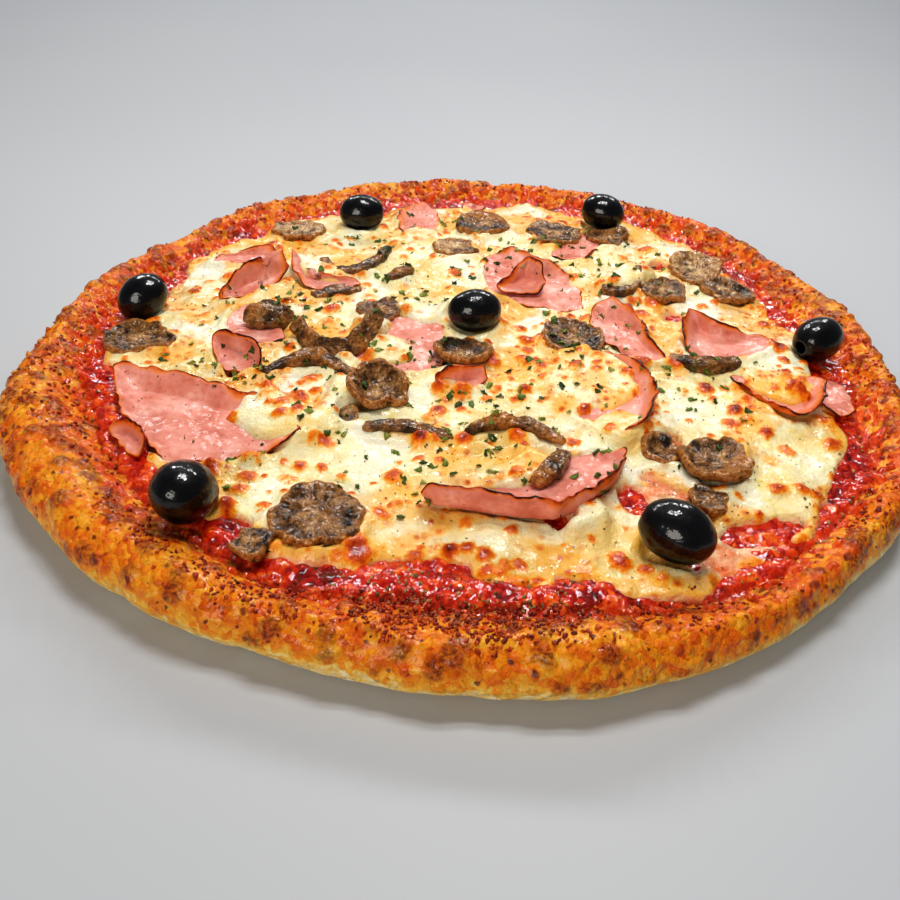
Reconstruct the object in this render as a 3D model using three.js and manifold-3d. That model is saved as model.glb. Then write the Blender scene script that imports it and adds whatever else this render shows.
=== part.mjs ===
// A round, hand-stretched pizza with ham, mushrooms and black olives, standing on its flat underside.
// Millimetres, +Z up. The front of the pizza faces -Y. Angles run anticlockwise from +X.

import * as THREE from 'three';
import { mergeVertices } from 'three/addons/utils/BufferGeometryUtils.js';
import Module from 'manifold-3d';

const wasm = await Module();
wasm.setup();

// ---- Driving dimensions -------------------------------------------------------------------

const gap = 0.35; // between two pieces that touch
const sliver = 0.06; // detail finer than this is dropped where pieces are cut
const floorHeight = 8; // top of the dough inside the rim
const rimHeight = 17.5; // crest of a wide stretch of rim
const sauceThickness = 1.2;
const cheeseThickness = 2.9;
const cheeseShoulder = 0.94; // the share of the cheese's radius at which its top turns down
const hamThickness = 1.6;
const mushroomThickness = 3.4;
const oliveLength = 19.5;
const oliveDiameter = 15.4;
const oliveSink = 1.6; // how deep an olive has settled into the cheese
const pitHoleDiameter = 4.6;
const stations = 60; // round the pizza

// Radii round the pizza, one every 15 degrees from +X. Hand-stretched dough is not quite round.
const outerClock = [
  148.5, 151, 150.5, 154, 157, 156.5, 154.5, 155, 150.5, 149.5, 146, 147.5,
  149.5, 153.5, 153.5, 150.3, 148.4, 146.8, 147.2, 152, 149.3, 150.5, 150.5, 149.5,
];
const sauceClock = [
  136, 132, 138, 143, 146, 145.5, 142, 141.5, 138, 136, 133, 133,
  134, 131, 127, 127, 129, 130, 128, 133, 138, 139, 139, 138,
];
const cheeseClock = [
  124, 122, 126, 133, 135, 131, 127.5, 127, 126, 125, 123.5, 118.5,
  121, 123.5, 124, 125.5, 122.5, 120, 111, 124, 131, 131, 132, 129,
];

// ---- Materials ----------------------------------------------------------------------------

const look = {
  crust: new THREE.MeshStandardMaterial({ color: 0xd9923e, roughness: 0.75, metalness: 0 }),
  sauce: new THREE.MeshStandardMaterial({ color: 0xb3200e, roughness: 0.3, metalness: 0 }),
  cheese: new THREE.MeshStandardMaterial({ color: 0xf3dfa0, roughness: 0.4, metalness: 0 }),
  ham: new THREE.MeshStandardMaterial({ color: 0xdf8f84, roughness: 0.45, metalness: 0 }),
  mushroom: new THREE.MeshStandardMaterial({ color: 0x5a4630, roughness: 0.4, metalness: 0 }),
  olive: new THREE.MeshStandardMaterial({ color: 0x14151b, roughness: 0.15, metalness: 0 }),
};

// ---- Solids -------------------------------------------------------------------------------

// A closed solid from rings of points, each ring the same length. The first and the last ring
// close on a single point, so the whole is a stack of bands between two fans.
function solidOfRings(bottom, rings, top) {
  const n = rings[0].length;
  const points = [bottom, ...rings.flat(), top];
  const last = points.length - 1;
  const faces = [];
  for (let k = 0; k < n; k += 1) {
    const next = (k + 1) % n;
    faces.push(0, 1 + next, 1 + k);
    for (let r = 0; r < rings.length - 1; r += 1) {
      const low = 1 + r * n;
      const high = low + n;
      faces.push(low + k, low + next, high + next);
      faces.push(low + k, high + next, high + k);
    }
    const rim = 1 + (rings.length - 1) * n;
    faces.push(rim + k, rim + next, last);
  }
  return solidOf(points.flat(), faces);
}

function solidOf(positions, faces) {
  return new wasm.Manifold(
    new wasm.Mesh({
      numProp: 3,
      vertProperties: new Float32Array(positions),
      triVerts: new Uint32Array(faces),
    }),
  );
}

function solidOfGeometry(geometry, matrix) {
  const bare = geometry.clone();
  bare.deleteAttribute('normal');
  bare.deleteAttribute('uv');
  const merged = mergeVertices(bare.applyMatrix4(matrix), 1e-3);
  return solidOf(merged.attributes.position.array, merged.index.array);
}

// A cut solid remembers every solid that it came from. Forgetting them keeps later cuts quick.
const settled = (solid) => solid.asOriginal();

// The solid grown by the gap to every side and upwards.
function grown(solid) {
  const { min, max } = solid.boundingBox();
  const centre = min.map((low, axis) => 0.5 * (low + max[axis]));
  const wider = [0, 1].map((axis) => 1 + (2 * gap) / (max[axis] - min[axis]));
  const copy = solid
    .translate(centre.map((c) => -c))
    .scale([...wider, 1])
    .translate(centre);
  return settled(solid.add(copy).add(copy.translate([0, 0, gap])));
}

// The biggest of the bodies that a cut leaves, without the slivers along the cut.
function biggest(solid) {
  const bodies = solid.simplify(sliver).decompose();
  return bodies.sort((a, b) => b.volume() - a.volume())[0];
}

// ---- The round base: dough, sauce and cheese ----------------------------------------------

// A smooth closed curve through the values of a clock, read at an angle in radians.
function readClock(clock, angle) {
  const turn = (angle / (2 * Math.PI)) * clock.length;
  const at = Math.floor(turn);
  const t = turn - at;
  const [a, b, c, d] = [-1, 0, 1, 2].map((k) => clock[(at + k + 2 * clock.length) % clock.length]);
  return b + 0.5 * t * (c - a + t * (2 * a - 5 * b + 4 * c - d + t * (3 * (b - c) + d - a)));
}

const outerRadius = (angle) => readClock(outerClock, angle) + 0.7 * Math.sin(11 * angle + 0.6);
const sauceRadius = (angle) => readClock(sauceClock, angle) + 1.0 * Math.sin(13 * angle + 1.7);
const cheeseRadius = (angle) =>
  Math.min(
    readClock(cheeseClock, angle) + 2.2 * Math.sin(15 * angle + 0.4),
    sauceRadius(angle) - slopeWidth - 1.5,
  );

const slopeWidth = 4; // the foot of the rim's inner slope, under the sauce's edge
const slopeHeight = 2.4; // how far the sauce climbs there
const sauceTop = floorHeight + gap + sauceThickness;

// A narrow stretch of rim has puffed up less than a wide one.
function crestHeight(angle) {
  const width = outerRadius(angle) - sauceRadius(angle);
  const puffed = THREE.MathUtils.smoothstep(width, 8, 21);
  const blisters = 0.7 * Math.sin(9 * angle + 1) + 0.5 * Math.sin(17 * angle);
  return rimHeight - 2.5 * (1 - puffed) + blisters;
}

// The cheese lies in soft mounds and thins out at its edge.
function cheeseTop(x, y) {
  const mounds = 0.5 * Math.sin(x / 13 + 0.5) * Math.cos(y / 15) + 0.3 * Math.sin((x + y) / 8.5);
  const share = Math.hypot(x, y) / cheeseRadius(Math.atan2(y, x));
  const edge = 1.3 * THREE.MathUtils.smoothstep(share, 0.86, 1);
  return sauceTop + gap + cheeseThickness + mounds - edge;
}

// Angles of the stations, and one ring of points at a radius and a height read at each.
const angles = Array.from({ length: stations }, (_, k) => (2 * Math.PI * k) / stations);

function ring(radiusAt, heightAt) {
  return angles.map((angle) => {
    const r = radiusAt(angle);
    const x = r * Math.cos(angle);
    const y = r * Math.sin(angle);
    return [x, y, heightAt(angle, x, y)];
  });
}

const slopeFoot = (angle) => sauceRadius(angle) - slopeWidth;

function crust() {
  // The rim's section, from its flat underside round the outside to the sauce. Inwards counts
  // from the outer radius in mm, and up as a share of the crest's height.
  const outside = [
    { inwards: 9, up: 0 },
    { inwards: 3.6, up: 0.08 },
    { inwards: 0.9, up: 0.26 },
    { inwards: 0, up: 0.47 },
    { inwards: 1.3, up: 0.72 },
  ];
  // Over the top the place counts from the outer radius as a share of the rim's width.
  const over = [
    { across: 0.24, up: 0.93 },
    { across: 0.45, up: 1 },
    { across: 0.74, up: 0.83 },
  ];
  const rings = outside.map(({ inwards, up }) =>
    ring((a) => outerRadius(a) - inwards, (a) => up * crestHeight(a)),
  );
  for (const { across, up } of over) {
    rings.push(
      ring(
        (a) => outerRadius(a) - across * (outerRadius(a) - sauceRadius(a)),
        (a) => up * crestHeight(a),
      ),
    );
  }
  rings.push(ring(sauceRadius, () => floorHeight + slopeHeight));
  rings.push(ring(slopeFoot, () => floorHeight));
  return solidOfRings([0, 0, 0], rings, [0, 0, floorHeight]);
}

function tomatoSauce() {
  const under = floorHeight + gap;
  const lip = 0.5; // the sauce's edge is thinner than the rest
  return solidOfRings(
    [0, 0, under],
    [
      ring(slopeFoot, () => under),
      ring(sauceRadius, () => under + slopeHeight),
      ring(sauceRadius, () => under + slopeHeight + lip),
      ring(slopeFoot, () => sauceTop),
    ],
    [0, 0, sauceTop],
  );
}

// Places where the cheese has parted and the sauce shows.
const windows = [
  { at: [25, -113], size: [13, 9], turn: -0.5 },
  { at: [58, -79], size: [26, 5], turn: -0.35 },
  { at: [-82, -20], size: [9, 8], turn: 0.9 },
  { at: [-101, 2], size: [12, 6], turn: 0.5 },
  { at: [80, 26], size: [11, 5], turn: 0.2 },
  { at: [84, 68], size: [9, 7], turn: 0 },
];

function parting({ at, size, turn }) {
  const sides = 9;
  const cutter = new THREE.CylinderGeometry(0.5, 0.5, 3 * cheeseThickness, sides);
  const matrix = new THREE.Matrix4()
    .makeTranslation(at[0], at[1], sauceTop + cheeseThickness)
    .multiply(new THREE.Matrix4().makeRotationZ(turn))
    .multiply(new THREE.Matrix4().makeScale(size[0], size[1], 1))
    .multiply(new THREE.Matrix4().makeRotationX(Math.PI / 2));
  return solidOfGeometry(cutter, matrix);
}

function wholeCheese() {
  const under = sauceTop + gap;
  const lip = 0.9; // the cheese's edge is thinner than the rest
  const rings = [ring(cheeseRadius, () => under), ring(cheeseRadius, () => under + lip)];
  for (const share of [cheeseShoulder, 0.78, 0.54, 0.27]) {
    rings.push(ring((a) => share * cheeseRadius(a), (a, x, y) => cheeseTop(x, y)));
  }
  return solidOfRings([0, 0, under], rings, [0, 0, cheeseTop(0, 0)]);
}

// What a topping lies on: the cheese, carried on a little past its edge and then down to the sauce.
function ground(x, y) {
  const descent = 9; // how far beyond the cheese's edge a topping has come down
  const clearance = 0.8; // over the sauce there
  const edge = cheeseRadius(Math.atan2(y, x));
  const r = Math.hypot(x, y);
  const shoulder = cheeseShoulder * edge;
  if (r < shoulder) return cheeseTop(x, y);
  const onShoulder = cheeseTop((shoulder / r) * x, (shoulder / r) * y);
  const down = THREE.MathUtils.smoothstep(r, edge, edge + descent);
  return THREE.MathUtils.lerp(onShoulder, sauceTop + clearance, down);
}

// ---- Sheets: ham slices and flat mushroom slices ------------------------------------------

function turnsClockwise(rim) {
  const outline = rim.map(([x, y]) => new THREE.Vector2(x, y));
  return THREE.ShapeUtils.isClockWise(outline);
}

const sag = 0.6; // how far a sheet has settled into what it lies on
const footLift = 0.12; // the share of the rim's lift that a sheet has at its foot
const curledLift = 2; // a sheet whose rim lifts further is curled

// A sheet on the ground with a rim of [x, y, lift] points. It lies flat from its middle to its
// foot, a share of the way out, and rises from there to each rim point's lift.
function sheet(rim, { thickness, foot, raise = 0 }) {
  if (turnsClockwise(rim)) rim.reverse();
  const n = rim.length;
  const middle = [0, 1].map((axis) => rim.reduce((sum, point) => sum + point[axis], 0) / n);
  const level = (share, lift) =>
    rim.map((point) => {
      const x = THREE.MathUtils.lerp(middle[0], point[0], share);
      const y = THREE.MathUtils.lerp(middle[1], point[1], share);
      return [x, y, ground(x, y) + raise + lift * point[2]];
    });
  const raised = (points, by) => points.map(([x, y, z]) => [x, y, z + by]);
  const height = ground(middle[0], middle[1]) + raise;
  const inner = level(foot, footLift);
  const outer = level(1, 1);
  const isCurled = Math.max(...rim.map((point) => point[2])) > curledLift;
  const under = isCurled ? [raised(inner, -sag), outer] : [raised(outer, -sag)];
  return solidOfRings(
    [middle[0], middle[1], height - sag],
    [...under, raised(outer, thickness), raised(inner, thickness)],
    [middle[0], middle[1], height + thickness],
  );
}

// The rim of a ham slice: a smooth closed curve through its corners.
function smoothRim(corners, steps) {
  const curve = new THREE.CatmullRomCurve3(
    corners.map((corner) => new THREE.Vector3(...corner)),
    true,
    'centripetal',
  );
  return Array.from({ length: steps }, (_, k) => curve.getPoint(k / steps).toArray());
}

function hamSlice({ rim, foot = 0.6, raise = 0 }) {
  const fewestSteps = 10;
  const steps = Math.max(rim.length, fewestSteps);
  return sheet(smoothRim(rim, steps), { thickness: hamThickness, foot, raise });
}

// The outline of a mushroom cut down its middle, round the point where cap and stem meet:
// a half-round cap whose lips hang below that point, and a stem.
function mushroomRim({ at, turn, cap, stem, lift = [0, 0, 0] }) {
  const [capWidth, capHeight] = cap;
  const [stemWidth, stemLength] = stem;
  const stemFoot = 0.42 * stemWidth; // from the stem's middle line to its side, at its end
  const stemTop = -0.35 * capHeight;
  const outline = [[-stemFoot, -stemLength], [-0.5 * stemWidth, stemTop]];
  const lip = 0.2; // the share of a half turn by which the cap goes on below its middle, at each side
  const steps = 8;
  for (let k = 0; k <= steps; k += 1) {
    const angle = Math.PI * (1 + lip - ((1 + 2 * lip) * k) / steps);
    outline.push([
      0.5 * capWidth * Math.cos(angle),
      0.25 * capHeight + 0.75 * capHeight * Math.sin(angle),
    ]);
  }
  outline.push([0.5 * stemWidth, stemTop], [stemFoot, -stemLength]);
  const [atCap, atLip, atStem] = lift;
  return outline.map(([u, v]) => [
    at[0] + u * Math.cos(turn) - v * Math.sin(turn),
    at[1] + u * Math.sin(turn) + v * Math.cos(turn),
    v > 0.5 * capHeight ? atCap : v < -0.6 * stemLength ? atStem : atLip,
  ]);
}

function mushroomSlice({ raise = 0, ...spec }) {
  return sheet(mushroomRim(spec), { thickness: mushroomThickness, foot: 0.55, raise });
}

// ---- Strips: curled mushroom slices seen along their edge ----------------------------------

// A band of a width and a height swept along a path of [x, y, lift] points on the ground.
// It narrows to its ends, and its section leans over by the same angle all along.
function strip({ path, width, height, lean = 0 }) {
  const endWidth = 0.55; // the share of the width and height that is left at an end
  const blunt = 0.08; // the share of the length at each end that narrows no further
  const standing = 0.42; // from what the strip lies on to its middle, as a share of its height
  const curve = new THREE.CatmullRomCurve3(path.map((point) => new THREE.Vector3(...point)));
  const steps = 2 * (path.length - 1);
  const section = [[-0.5, -0.5], [-0.5, 0.5], [0.5, 0.5], [0.5, -0.5]];
  const rings = [];
  for (let k = 0; k <= steps; k += 1) {
    const t = k / steps;
    const point = curve.getPoint(t);
    const along = curve.getTangent(t).setZ(0).normalize();
    const swell = Math.sin(Math.PI * THREE.MathUtils.clamp(t, blunt, 1 - blunt));
    const taper = THREE.MathUtils.lerp(endWidth, 1, swell);
    const z = ground(point.x, point.y) + point.z + standing * height;
    rings.push(
      section.map(([across, up]) => {
        const u = across * width * taper * Math.cos(lean) + up * height * taper * Math.sin(lean);
        const v = up * height * taper * Math.cos(lean) - across * width * taper * Math.sin(lean);
        return [point.x + u * along.y, point.y - u * along.x, z + v];
      }),
    );
  }
  const middle = (points) => [0, 1, 2].map((i) => points.reduce((s, p) => s + p[i], 0) / points.length);
  return solidOfRings(middle(rings[0]), rings, middle(rings[steps]));
}

// ---- Domes and olives ----------------------------------------------------------------------

function dome({ at, size, turn, tilt }) {
  const standing = 0.36; // from what the dome lies on to its middle, as a share of its height
  const ball = new THREE.SphereGeometry(0.5, 8, 6);
  const matrix = new THREE.Matrix4()
    .makeTranslation(at[0], at[1], ground(at[0], at[1]) + standing * size[2])
    .multiply(new THREE.Matrix4().makeRotationZ(turn))
    .multiply(new THREE.Matrix4().makeRotationX(tilt))
    .multiply(new THREE.Matrix4().makeScale(...size));
  return solidOfGeometry(ball, matrix);
}

// An olive's long axis points along aim, its turn about Z and its rise over the level, in degrees.
// A pitted olive has a blind hole at that end, and a whole one a small dimple.
function olive({ at, aim, pitted = false, scale = 1 }) {
  const half = 0.5 * oliveLength;
  const radius = 0.5 * oliveDiameter;
  const hole = 0.5 * pitHoleDiameter;
  const dimple = 0.14 * Math.PI; // the angle from the axis at which a whole olive's dimple starts
  const profile = [new THREE.Vector2(0, -half)];
  const first = pitted ? Math.asin(hole / radius) : dimple;
  const steps = 7;
  for (let k = 1; k <= steps; k += 1) {
    const angle = Math.PI - ((Math.PI - first) * k) / steps;
    profile.push(new THREE.Vector2(radius * Math.sin(angle), half * Math.cos(angle)));
  }
  if (pitted) profile.push(new THREE.Vector2(0.8 * hole, 0.35 * half));
  profile.push(new THREE.Vector2(0, pitted ? 0.3 * half : 0.95 * half));
  const [turn, rise] = aim.map(THREE.MathUtils.degToRad);
  const matrix = new THREE.Matrix4()
    .makeRotationZ(turn - Math.PI / 2)
    .multiply(new THREE.Matrix4().makeRotationX(rise))
    .multiply(new THREE.Matrix4().makeScale(scale, scale, scale));
  const shape = solidOfGeometry(new THREE.LatheGeometry(profile, 10), matrix);
  const low = shape.boundingBox().min[2];
  return shape.translate([at[0], at[1], ground(at[0], at[1]) - oliveSink - low]);
}

// ---- The toppings --------------------------------------------------------------------------

const olives = {
  olive_back_left: { at: [-46, 96], aim: [5, 0] },
  olive_back_right: { at: [60, 107], aim: [170, 10] },
  olive_left: { at: [-118, 14], aim: [30, 30], pitted: true },
  olive_centre: { at: [3, 9], aim: [12, 0] },
  olive_right: { at: [124, 1], aim: [214, -4], pitted: true },
  olive_front_left: { at: [-74, -97], aim: [85, -35], scale: 1.13 },
  olive_front_right: { at: [55, -105], aim: [155, 12], scale: 1.05 },
};

const hams = {
  ham_front_left: {
    rim: [
      [-114, -32, 6], [-94, -36, 6], [-65, -45, 4], [-48, -64, 5], [-57, -72, 1],
      [-72, -77, 0], [-86, -76, 0], [-97, -63, 1], [-105, -54, 1], [-110, -45, 3],
    ],
  },
  ham_front_left_flap: {
    rim: [[-107, -61, 1], [-99, -63, 5], [-93, -70, 3], [-94, -75, 0], [-102, -68, 0]],
    raise: 0.6,
  },
  ham_back_left: {
    rim: [
      [-94, 22, 1], [-90, 25, 5], [-88, 33, 8], [-80, 38, 9], [-73, 51, 11],
      [-70, 42, 3], [-78, 32, 0], [-86, 25, 0],
    ],
  },
  ham_back_left_tail: {
    rim: [[-70, 53, 9], [-61, 43, 6], [-52, 40, 3], [-39, 37, 1], [-49, 33, 0], [-65, 37, 0]],
    raise: 1,
  },
  ham_back_left_strip: {
    rim: [[-106, 55, 0], [-93, 63, 2], [-80, 66, 4], [-78, 61, 0], [-91, 54, 0]],
  },
  ham_left_slice: {
    rim: [
      [-87, 3, 0], [-84, 19, 1], [-78, 20, 1], [-73, 9, 0],
      [-62, -3, 0], [-71, -9, 0], [-79, -5, 0],
    ],
  },
  ham_left_curl: {
    rim: [[-87, -11, 4], [-77, -16, 8], [-68, -22, 6], [-69, -27, 1], [-77, -28, 0], [-84, -21, 0]],
    foot: 0.75,
    raise: 0.6,
  },
  ham_middle: {
    rim: [
      [-32, 14, 0], [-17, 16, 0], [-8, 11, 0], [-6, -14, 0], [-11, -25, 0],
      [-22, -23, 0], [-34, -28, 0], [-38, -16, 0], [-33, -3, 0],
    ],
  },
  ham_middle_curl: {
    rim: [[-11, -31, 3], [-6, -29, 6], [0, -28, 7], [6, -25, 6], [5, -32, 0], [-6, -34, 0]],
    foot: 0.75,
  },
  ham_back_oval: {
    rim: [
      [-31, 104, 2], [-28, 117, 3], [-20, 120, 3], [-13, 107, 2],
      [-14, 90, 0], [-20, 81, 0], [-28, 88, 1],
    ],
  },
  ham_back_right: {
    rim: [
      [8, 68, 0], [19, 69, 5], [31, 60, 4], [41, 48, 3], [45, 32, 0],
      [42, 22, 0], [29, 24, 0], [10, 36, 0], [6, 52, 0],
    ],
  },
  ham_back_right_curl: {
    rim: [
      [13, 40, 2], [19, 42, 6], [23, 46, 10], [29, 42, 8],
      [29, 35, 0], [20, 33, 0], [12, 36, 0],
    ],
    foot: 0.7,
    raise: 1.8,
  },
  ham_back_right_patch: {
    rim: [[34, 72, 0], [46, 89, 0], [55, 101, 0], [57, 86, 0], [46, 68, 0]],
  },
  ham_right: {
    rim: [
      [54, 25, 6], [62, 17, 5], [64, 1, 4], [69, -13, 1],
      [61, -13, 0], [50, 3, 0], [44, 18, 1],
    ],
  },
  ham_far_right: {
    rim: [
      [81, 16, 8], [89, 10, 6], [99, 8, 3], [111, 3, 1],
      [97, -7, 0], [79, -10, 0], [76, 4, 6],
    ],
  },
  ham_centre_right: {
    rim: [
      [49, -8, 3], [55, -17, 6], [60, -27, 7], [60, -43, 8], [55, -55, 7],
      [48, -58, 4], [41, -54, 0], [34, -47, 0], [32, -31, 0], [38, -13, 0],
    ],
    foot: 0.72,
  },
  ham_front_curl: {
    rim: [
      [-13, -91, 5], [-9, -93, 11], [3, -95, 10], [14, -97, 10], [25, -97, 9], [34, -91, 8],
      [44, -80, 8], [47, -70, 6], [41, -63, 0], [29, -68, 0], [15, -80, 0], [0, -86, 0], [-8, -88, 2],
    ],
    foot: 0.88,
  },
  ham_right_folded: {
    rim: [
      [88, -19, 0], [95, -35, 3], [102, -45, 4], [108, -45, 4],
      [114, -38, 6], [118, -23, 5], [104, -19, 0],
    ],
  },
  ham_right_patch: {
    rim: [[119, -20, 0], [127, -17, 0], [128, -30, 0], [123, -39, 0], [117, -36, 0]],
  },
  ham_back_bit: { rim: [[-2, 121, 0], [-1, 126, 0], [6, 126, 0], [8, 121, 0]] },
};

const slices = {
  mushroom_left: { at: [-112, -7], turn: 1.35, cap: [22, 15], stem: [9, 12], lift: [1, 0, 0] },
  mushroom_ring: { at: [-31, 20], turn: 2.6, cap: [17, 11], stem: [6, 7], lift: [1, 0, 0] },
  mushroom_front_left: { at: [-43, -99], turn: -1.35, cap: [24, 17], stem: [9, 9], lift: [1, 2, 0] },
  mushroom_front_bit: { at: [-54, -110], turn: 0.4, cap: [11, 7], stem: [4, 4] },
  mushroom_middle: { at: [-25, -40], turn: 1.1, cap: [21, 11], stem: [6, 7], lift: [6, 3, 0], raise: 0.4 },
  mushroom_middle_bit: { at: [-36, -54], turn: 0.3, cap: [8, 6], stem: [3, 3] },
  mushroom_rolled: { at: [0, -8], turn: 2.9, cap: [19, 13], stem: [7, 6], lift: [4, 2, 0] },
  mushroom_right: { at: [40, -2], turn: 0.5, cap: [22, 17], stem: [8, 8], lift: [1, 1, 0] },
  mushroom_front_right: { at: [76, -66], turn: 2.5, cap: [21, 14], stem: [8, 11], lift: [3, 1, 0] },
  mushroom_front_right_bit: {
    at: [59.5, -66],
    turn: 0.6,
    cap: [9, 8],
    stem: [4, 3],
    lift: [2, 1, 0],
  },
  mushroom_front_right_crumb: { at: [70, -84], turn: 1.9, cap: [12, 7], stem: [4, 4] },
  mushroom_back_cap: { at: [9, 98], turn: 1.2, cap: [24, 14], stem: [9, 10], lift: [2, 1, 0] },
  mushroom_back_slice: { at: [36, 90], turn: -0.5, cap: [25, 14], stem: [8, 9], lift: [1, 0, 0] },
  mushroom_back_olive: { at: [62, 91], turn: 0.35, cap: [20, 13], stem: [8, 8], lift: [1, 1, 0] },
  mushroom_back_pale: { at: [-3, 74], turn: 1.2, cap: [18, 11], stem: [7, 8] },
  mushroom_right_pale: { at: [92, 58], turn: -0.3, cap: [21, 15], stem: [8, 8], lift: [3, 1, 0] },
  mushroom_right_inner: { at: [79, 40], turn: 0.9, cap: [20, 11], stem: [7, 7], lift: [1, 1, 0] },
  mushroom_right_outer: { at: [101, 42], turn: -0.6, cap: [23, 10], stem: [6, 6], lift: [2, 1, 0] },
  mushroom_rim_pale: { at: [-74, 85], turn: -0.3, cap: [24, 12], stem: [8, 7] },
};

const strips = {
  mushroom_boat: {
    path: [[-60, 0, 2], [-52, -11, 0], [-41, -13, 0], [-34, -6, 4], [-31, 2, 8]],
    width: 4,
    height: 8,
    lean: -0.7,
  },
  mushroom_back_left: {
    path: [[-58, 58, 0], [-54, 50, 0], [-45, 47, 0], [-39, 53, 0], [-33, 69, 1]],
    width: 5,
    height: 5,
  },
  mushroom_back_left_bit: { path: [[-32, 42, 0], [-27, 43, 1], [-22, 50, 2]], width: 5, height: 4 },
  mushroom_left_bits: { path: [[-58, 27, 0], [-50, 32, 0], [-41, 34, 0]], width: 6, height: 4 },
  mushroom_dark_wave: {
    path: [[-66, -29, 0], [-60, -22, 0], [-50, -19, 2], [-42, -24, 0], [-35, -28, 0]],
    width: 5,
    height: 5,
  },
  mushroom_buried_edge: { path: [[-31, -57, 0], [-19, -56, 0], [-3, -60, 0]], width: 4, height: 4 },
  mushroom_buried_curl: {
    path: [[0, -58, 0], [8, -53, 1], [19, -54, 1], [30, -61, 0]],
    width: 4,
    height: 5,
    lean: 0.4,
  },
  mushroom_buried_tip: { path: [[29, -68, 1], [26, -76, 2], [20, -82, 0]], width: 6, height: 5 },
  mushroom_back_hook: {
    path: [[52, 38, 1], [58, 36, 0], [66, 43, 0], [67, 52, 3]],
    width: 5,
    height: 6,
  },
  mushroom_right_edge: {
    path: [[70, -10, 0], [78, -14, 0], [86, -15, 1], [93, -12, 0]],
    width: 6,
    height: 5,
  },
};

const caps = {
  mushroom_boat_cap: { at: [-71, 7], size: [18, 14, 10], turn: 0.4, tilt: 0.3 },
};

// ---- Putting it together -------------------------------------------------------------------

const pizza = new THREE.Group();
const placed = [];

function add(name, solid, material) {
  const { vertProperties, triVerts } = solid.getMesh();
  const geometry = new THREE.BufferGeometry();
  geometry.setAttribute('position', new THREE.BufferAttribute(vertProperties, 3));
  geometry.setIndex(new THREE.BufferAttribute(triVerts, 1));
  const mesh = new THREE.Mesh(geometry, material);
  mesh.name = name;
  pizza.add(mesh);
}

// A topping gives way to the base and to every topping placed before it.
function addTopping(name, solid, material) {
  let left = settled(solid.subtract(base));
  for (const other of placed) left = settled(left.subtract(other));
  left = biggest(left);
  placed.push(grown(left));
  add(name, left, material);
}

const dough = crust();
const sauce = tomatoSauce();
const cheese = wholeCheese();
const partedCheese = windows.reduce((left, place) => left.subtract(parting(place)), cheese);
const base = settled(
  dough
    .translate([0, 0, gap])
    .add(sauce.translate([0, 0, gap]))
    .add(grown(cheese)),
);

add('crust', dough, look.crust);
add('tomato_sauce', sauce, look.sauce);
add('cheese', settled(partedCheese), look.cheese);
for (const [name, spec] of Object.entries(olives)) addTopping(name, olive(spec), look.olive);
for (const [name, spec] of Object.entries(hams)) addTopping(name, hamSlice(spec), look.ham);
for (const [name, spec] of Object.entries(slices)) addTopping(name, mushroomSlice(spec), look.mushroom);
for (const [name, spec] of Object.entries(strips)) addTopping(name, strip(spec), look.mushroom);
for (const [name, spec] of Object.entries(caps)) addTopping(name, dome(spec), look.mushroom);

// The origin goes to the middle of the underside.
const middle = new THREE.Box3().setFromObject(pizza).getCenter(new THREE.Vector3());
pizza.position.set(-middle.x, -middle.y, 0);

export default pizza;
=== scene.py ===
# %% [markdown]
# # A ham and mushroom pizza
# The real thing is a hand-stretched disc of dough with a puffed rim, coarse tomato sauce, melted
# mozzarella that has blistered brown, curled slices of cooked ham, baked mushroom slices and whole
# black olives. This lesson dresses a plain solid model of it. The solids give every place and size,
# and the script makes the surfaces that an oven makes: lumps, blisters, ragged and charred edges.

# %% Load the frame
import itertools
import math

import bpy
import numpy as np
from mathutils import Matrix, Vector
from mathutils.bvhtree import BVHTree


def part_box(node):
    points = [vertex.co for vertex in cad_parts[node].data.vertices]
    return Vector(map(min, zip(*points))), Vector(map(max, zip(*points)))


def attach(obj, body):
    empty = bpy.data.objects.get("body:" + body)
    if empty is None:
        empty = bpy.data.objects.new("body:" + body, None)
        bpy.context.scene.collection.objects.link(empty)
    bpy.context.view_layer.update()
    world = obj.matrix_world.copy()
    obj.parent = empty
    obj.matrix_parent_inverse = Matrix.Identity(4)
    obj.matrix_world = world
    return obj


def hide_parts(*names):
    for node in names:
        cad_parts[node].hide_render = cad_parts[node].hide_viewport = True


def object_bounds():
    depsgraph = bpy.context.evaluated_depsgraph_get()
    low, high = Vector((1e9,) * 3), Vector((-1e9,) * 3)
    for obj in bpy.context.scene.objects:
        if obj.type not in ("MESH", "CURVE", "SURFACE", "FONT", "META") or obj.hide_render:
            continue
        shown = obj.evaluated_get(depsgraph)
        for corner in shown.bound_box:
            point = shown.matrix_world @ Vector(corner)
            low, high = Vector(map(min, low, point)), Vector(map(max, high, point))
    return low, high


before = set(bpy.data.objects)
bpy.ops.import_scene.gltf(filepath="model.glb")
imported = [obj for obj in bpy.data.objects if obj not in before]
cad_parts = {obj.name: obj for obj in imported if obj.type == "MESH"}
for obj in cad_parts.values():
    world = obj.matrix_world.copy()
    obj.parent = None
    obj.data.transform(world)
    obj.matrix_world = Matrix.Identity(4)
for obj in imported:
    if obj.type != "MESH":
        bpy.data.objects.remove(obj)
cad_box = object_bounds()
MM = 0.001  # the frame is in metres, and all sizes here are in millimetres
sides_mm = [round(side / MM, 1) for side in cad_box[1] - cad_box[0]]
print("frame:", len(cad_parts), "solids, sides in mm", sides_mm)

# %% [markdown]
# ## Noise made with arrays
# Food has no straight or repeating lines, so nearly every surface here is moved by noise. Blender's
# own noise works a point at a time, so the same two kinds are written here for whole arrays: smooth
# gradient noise for waves and dents, and cells for grains and pimples. A feature's size is given in
# millimetres. The tables of directions and places are seeded, so each run is the same.

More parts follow.
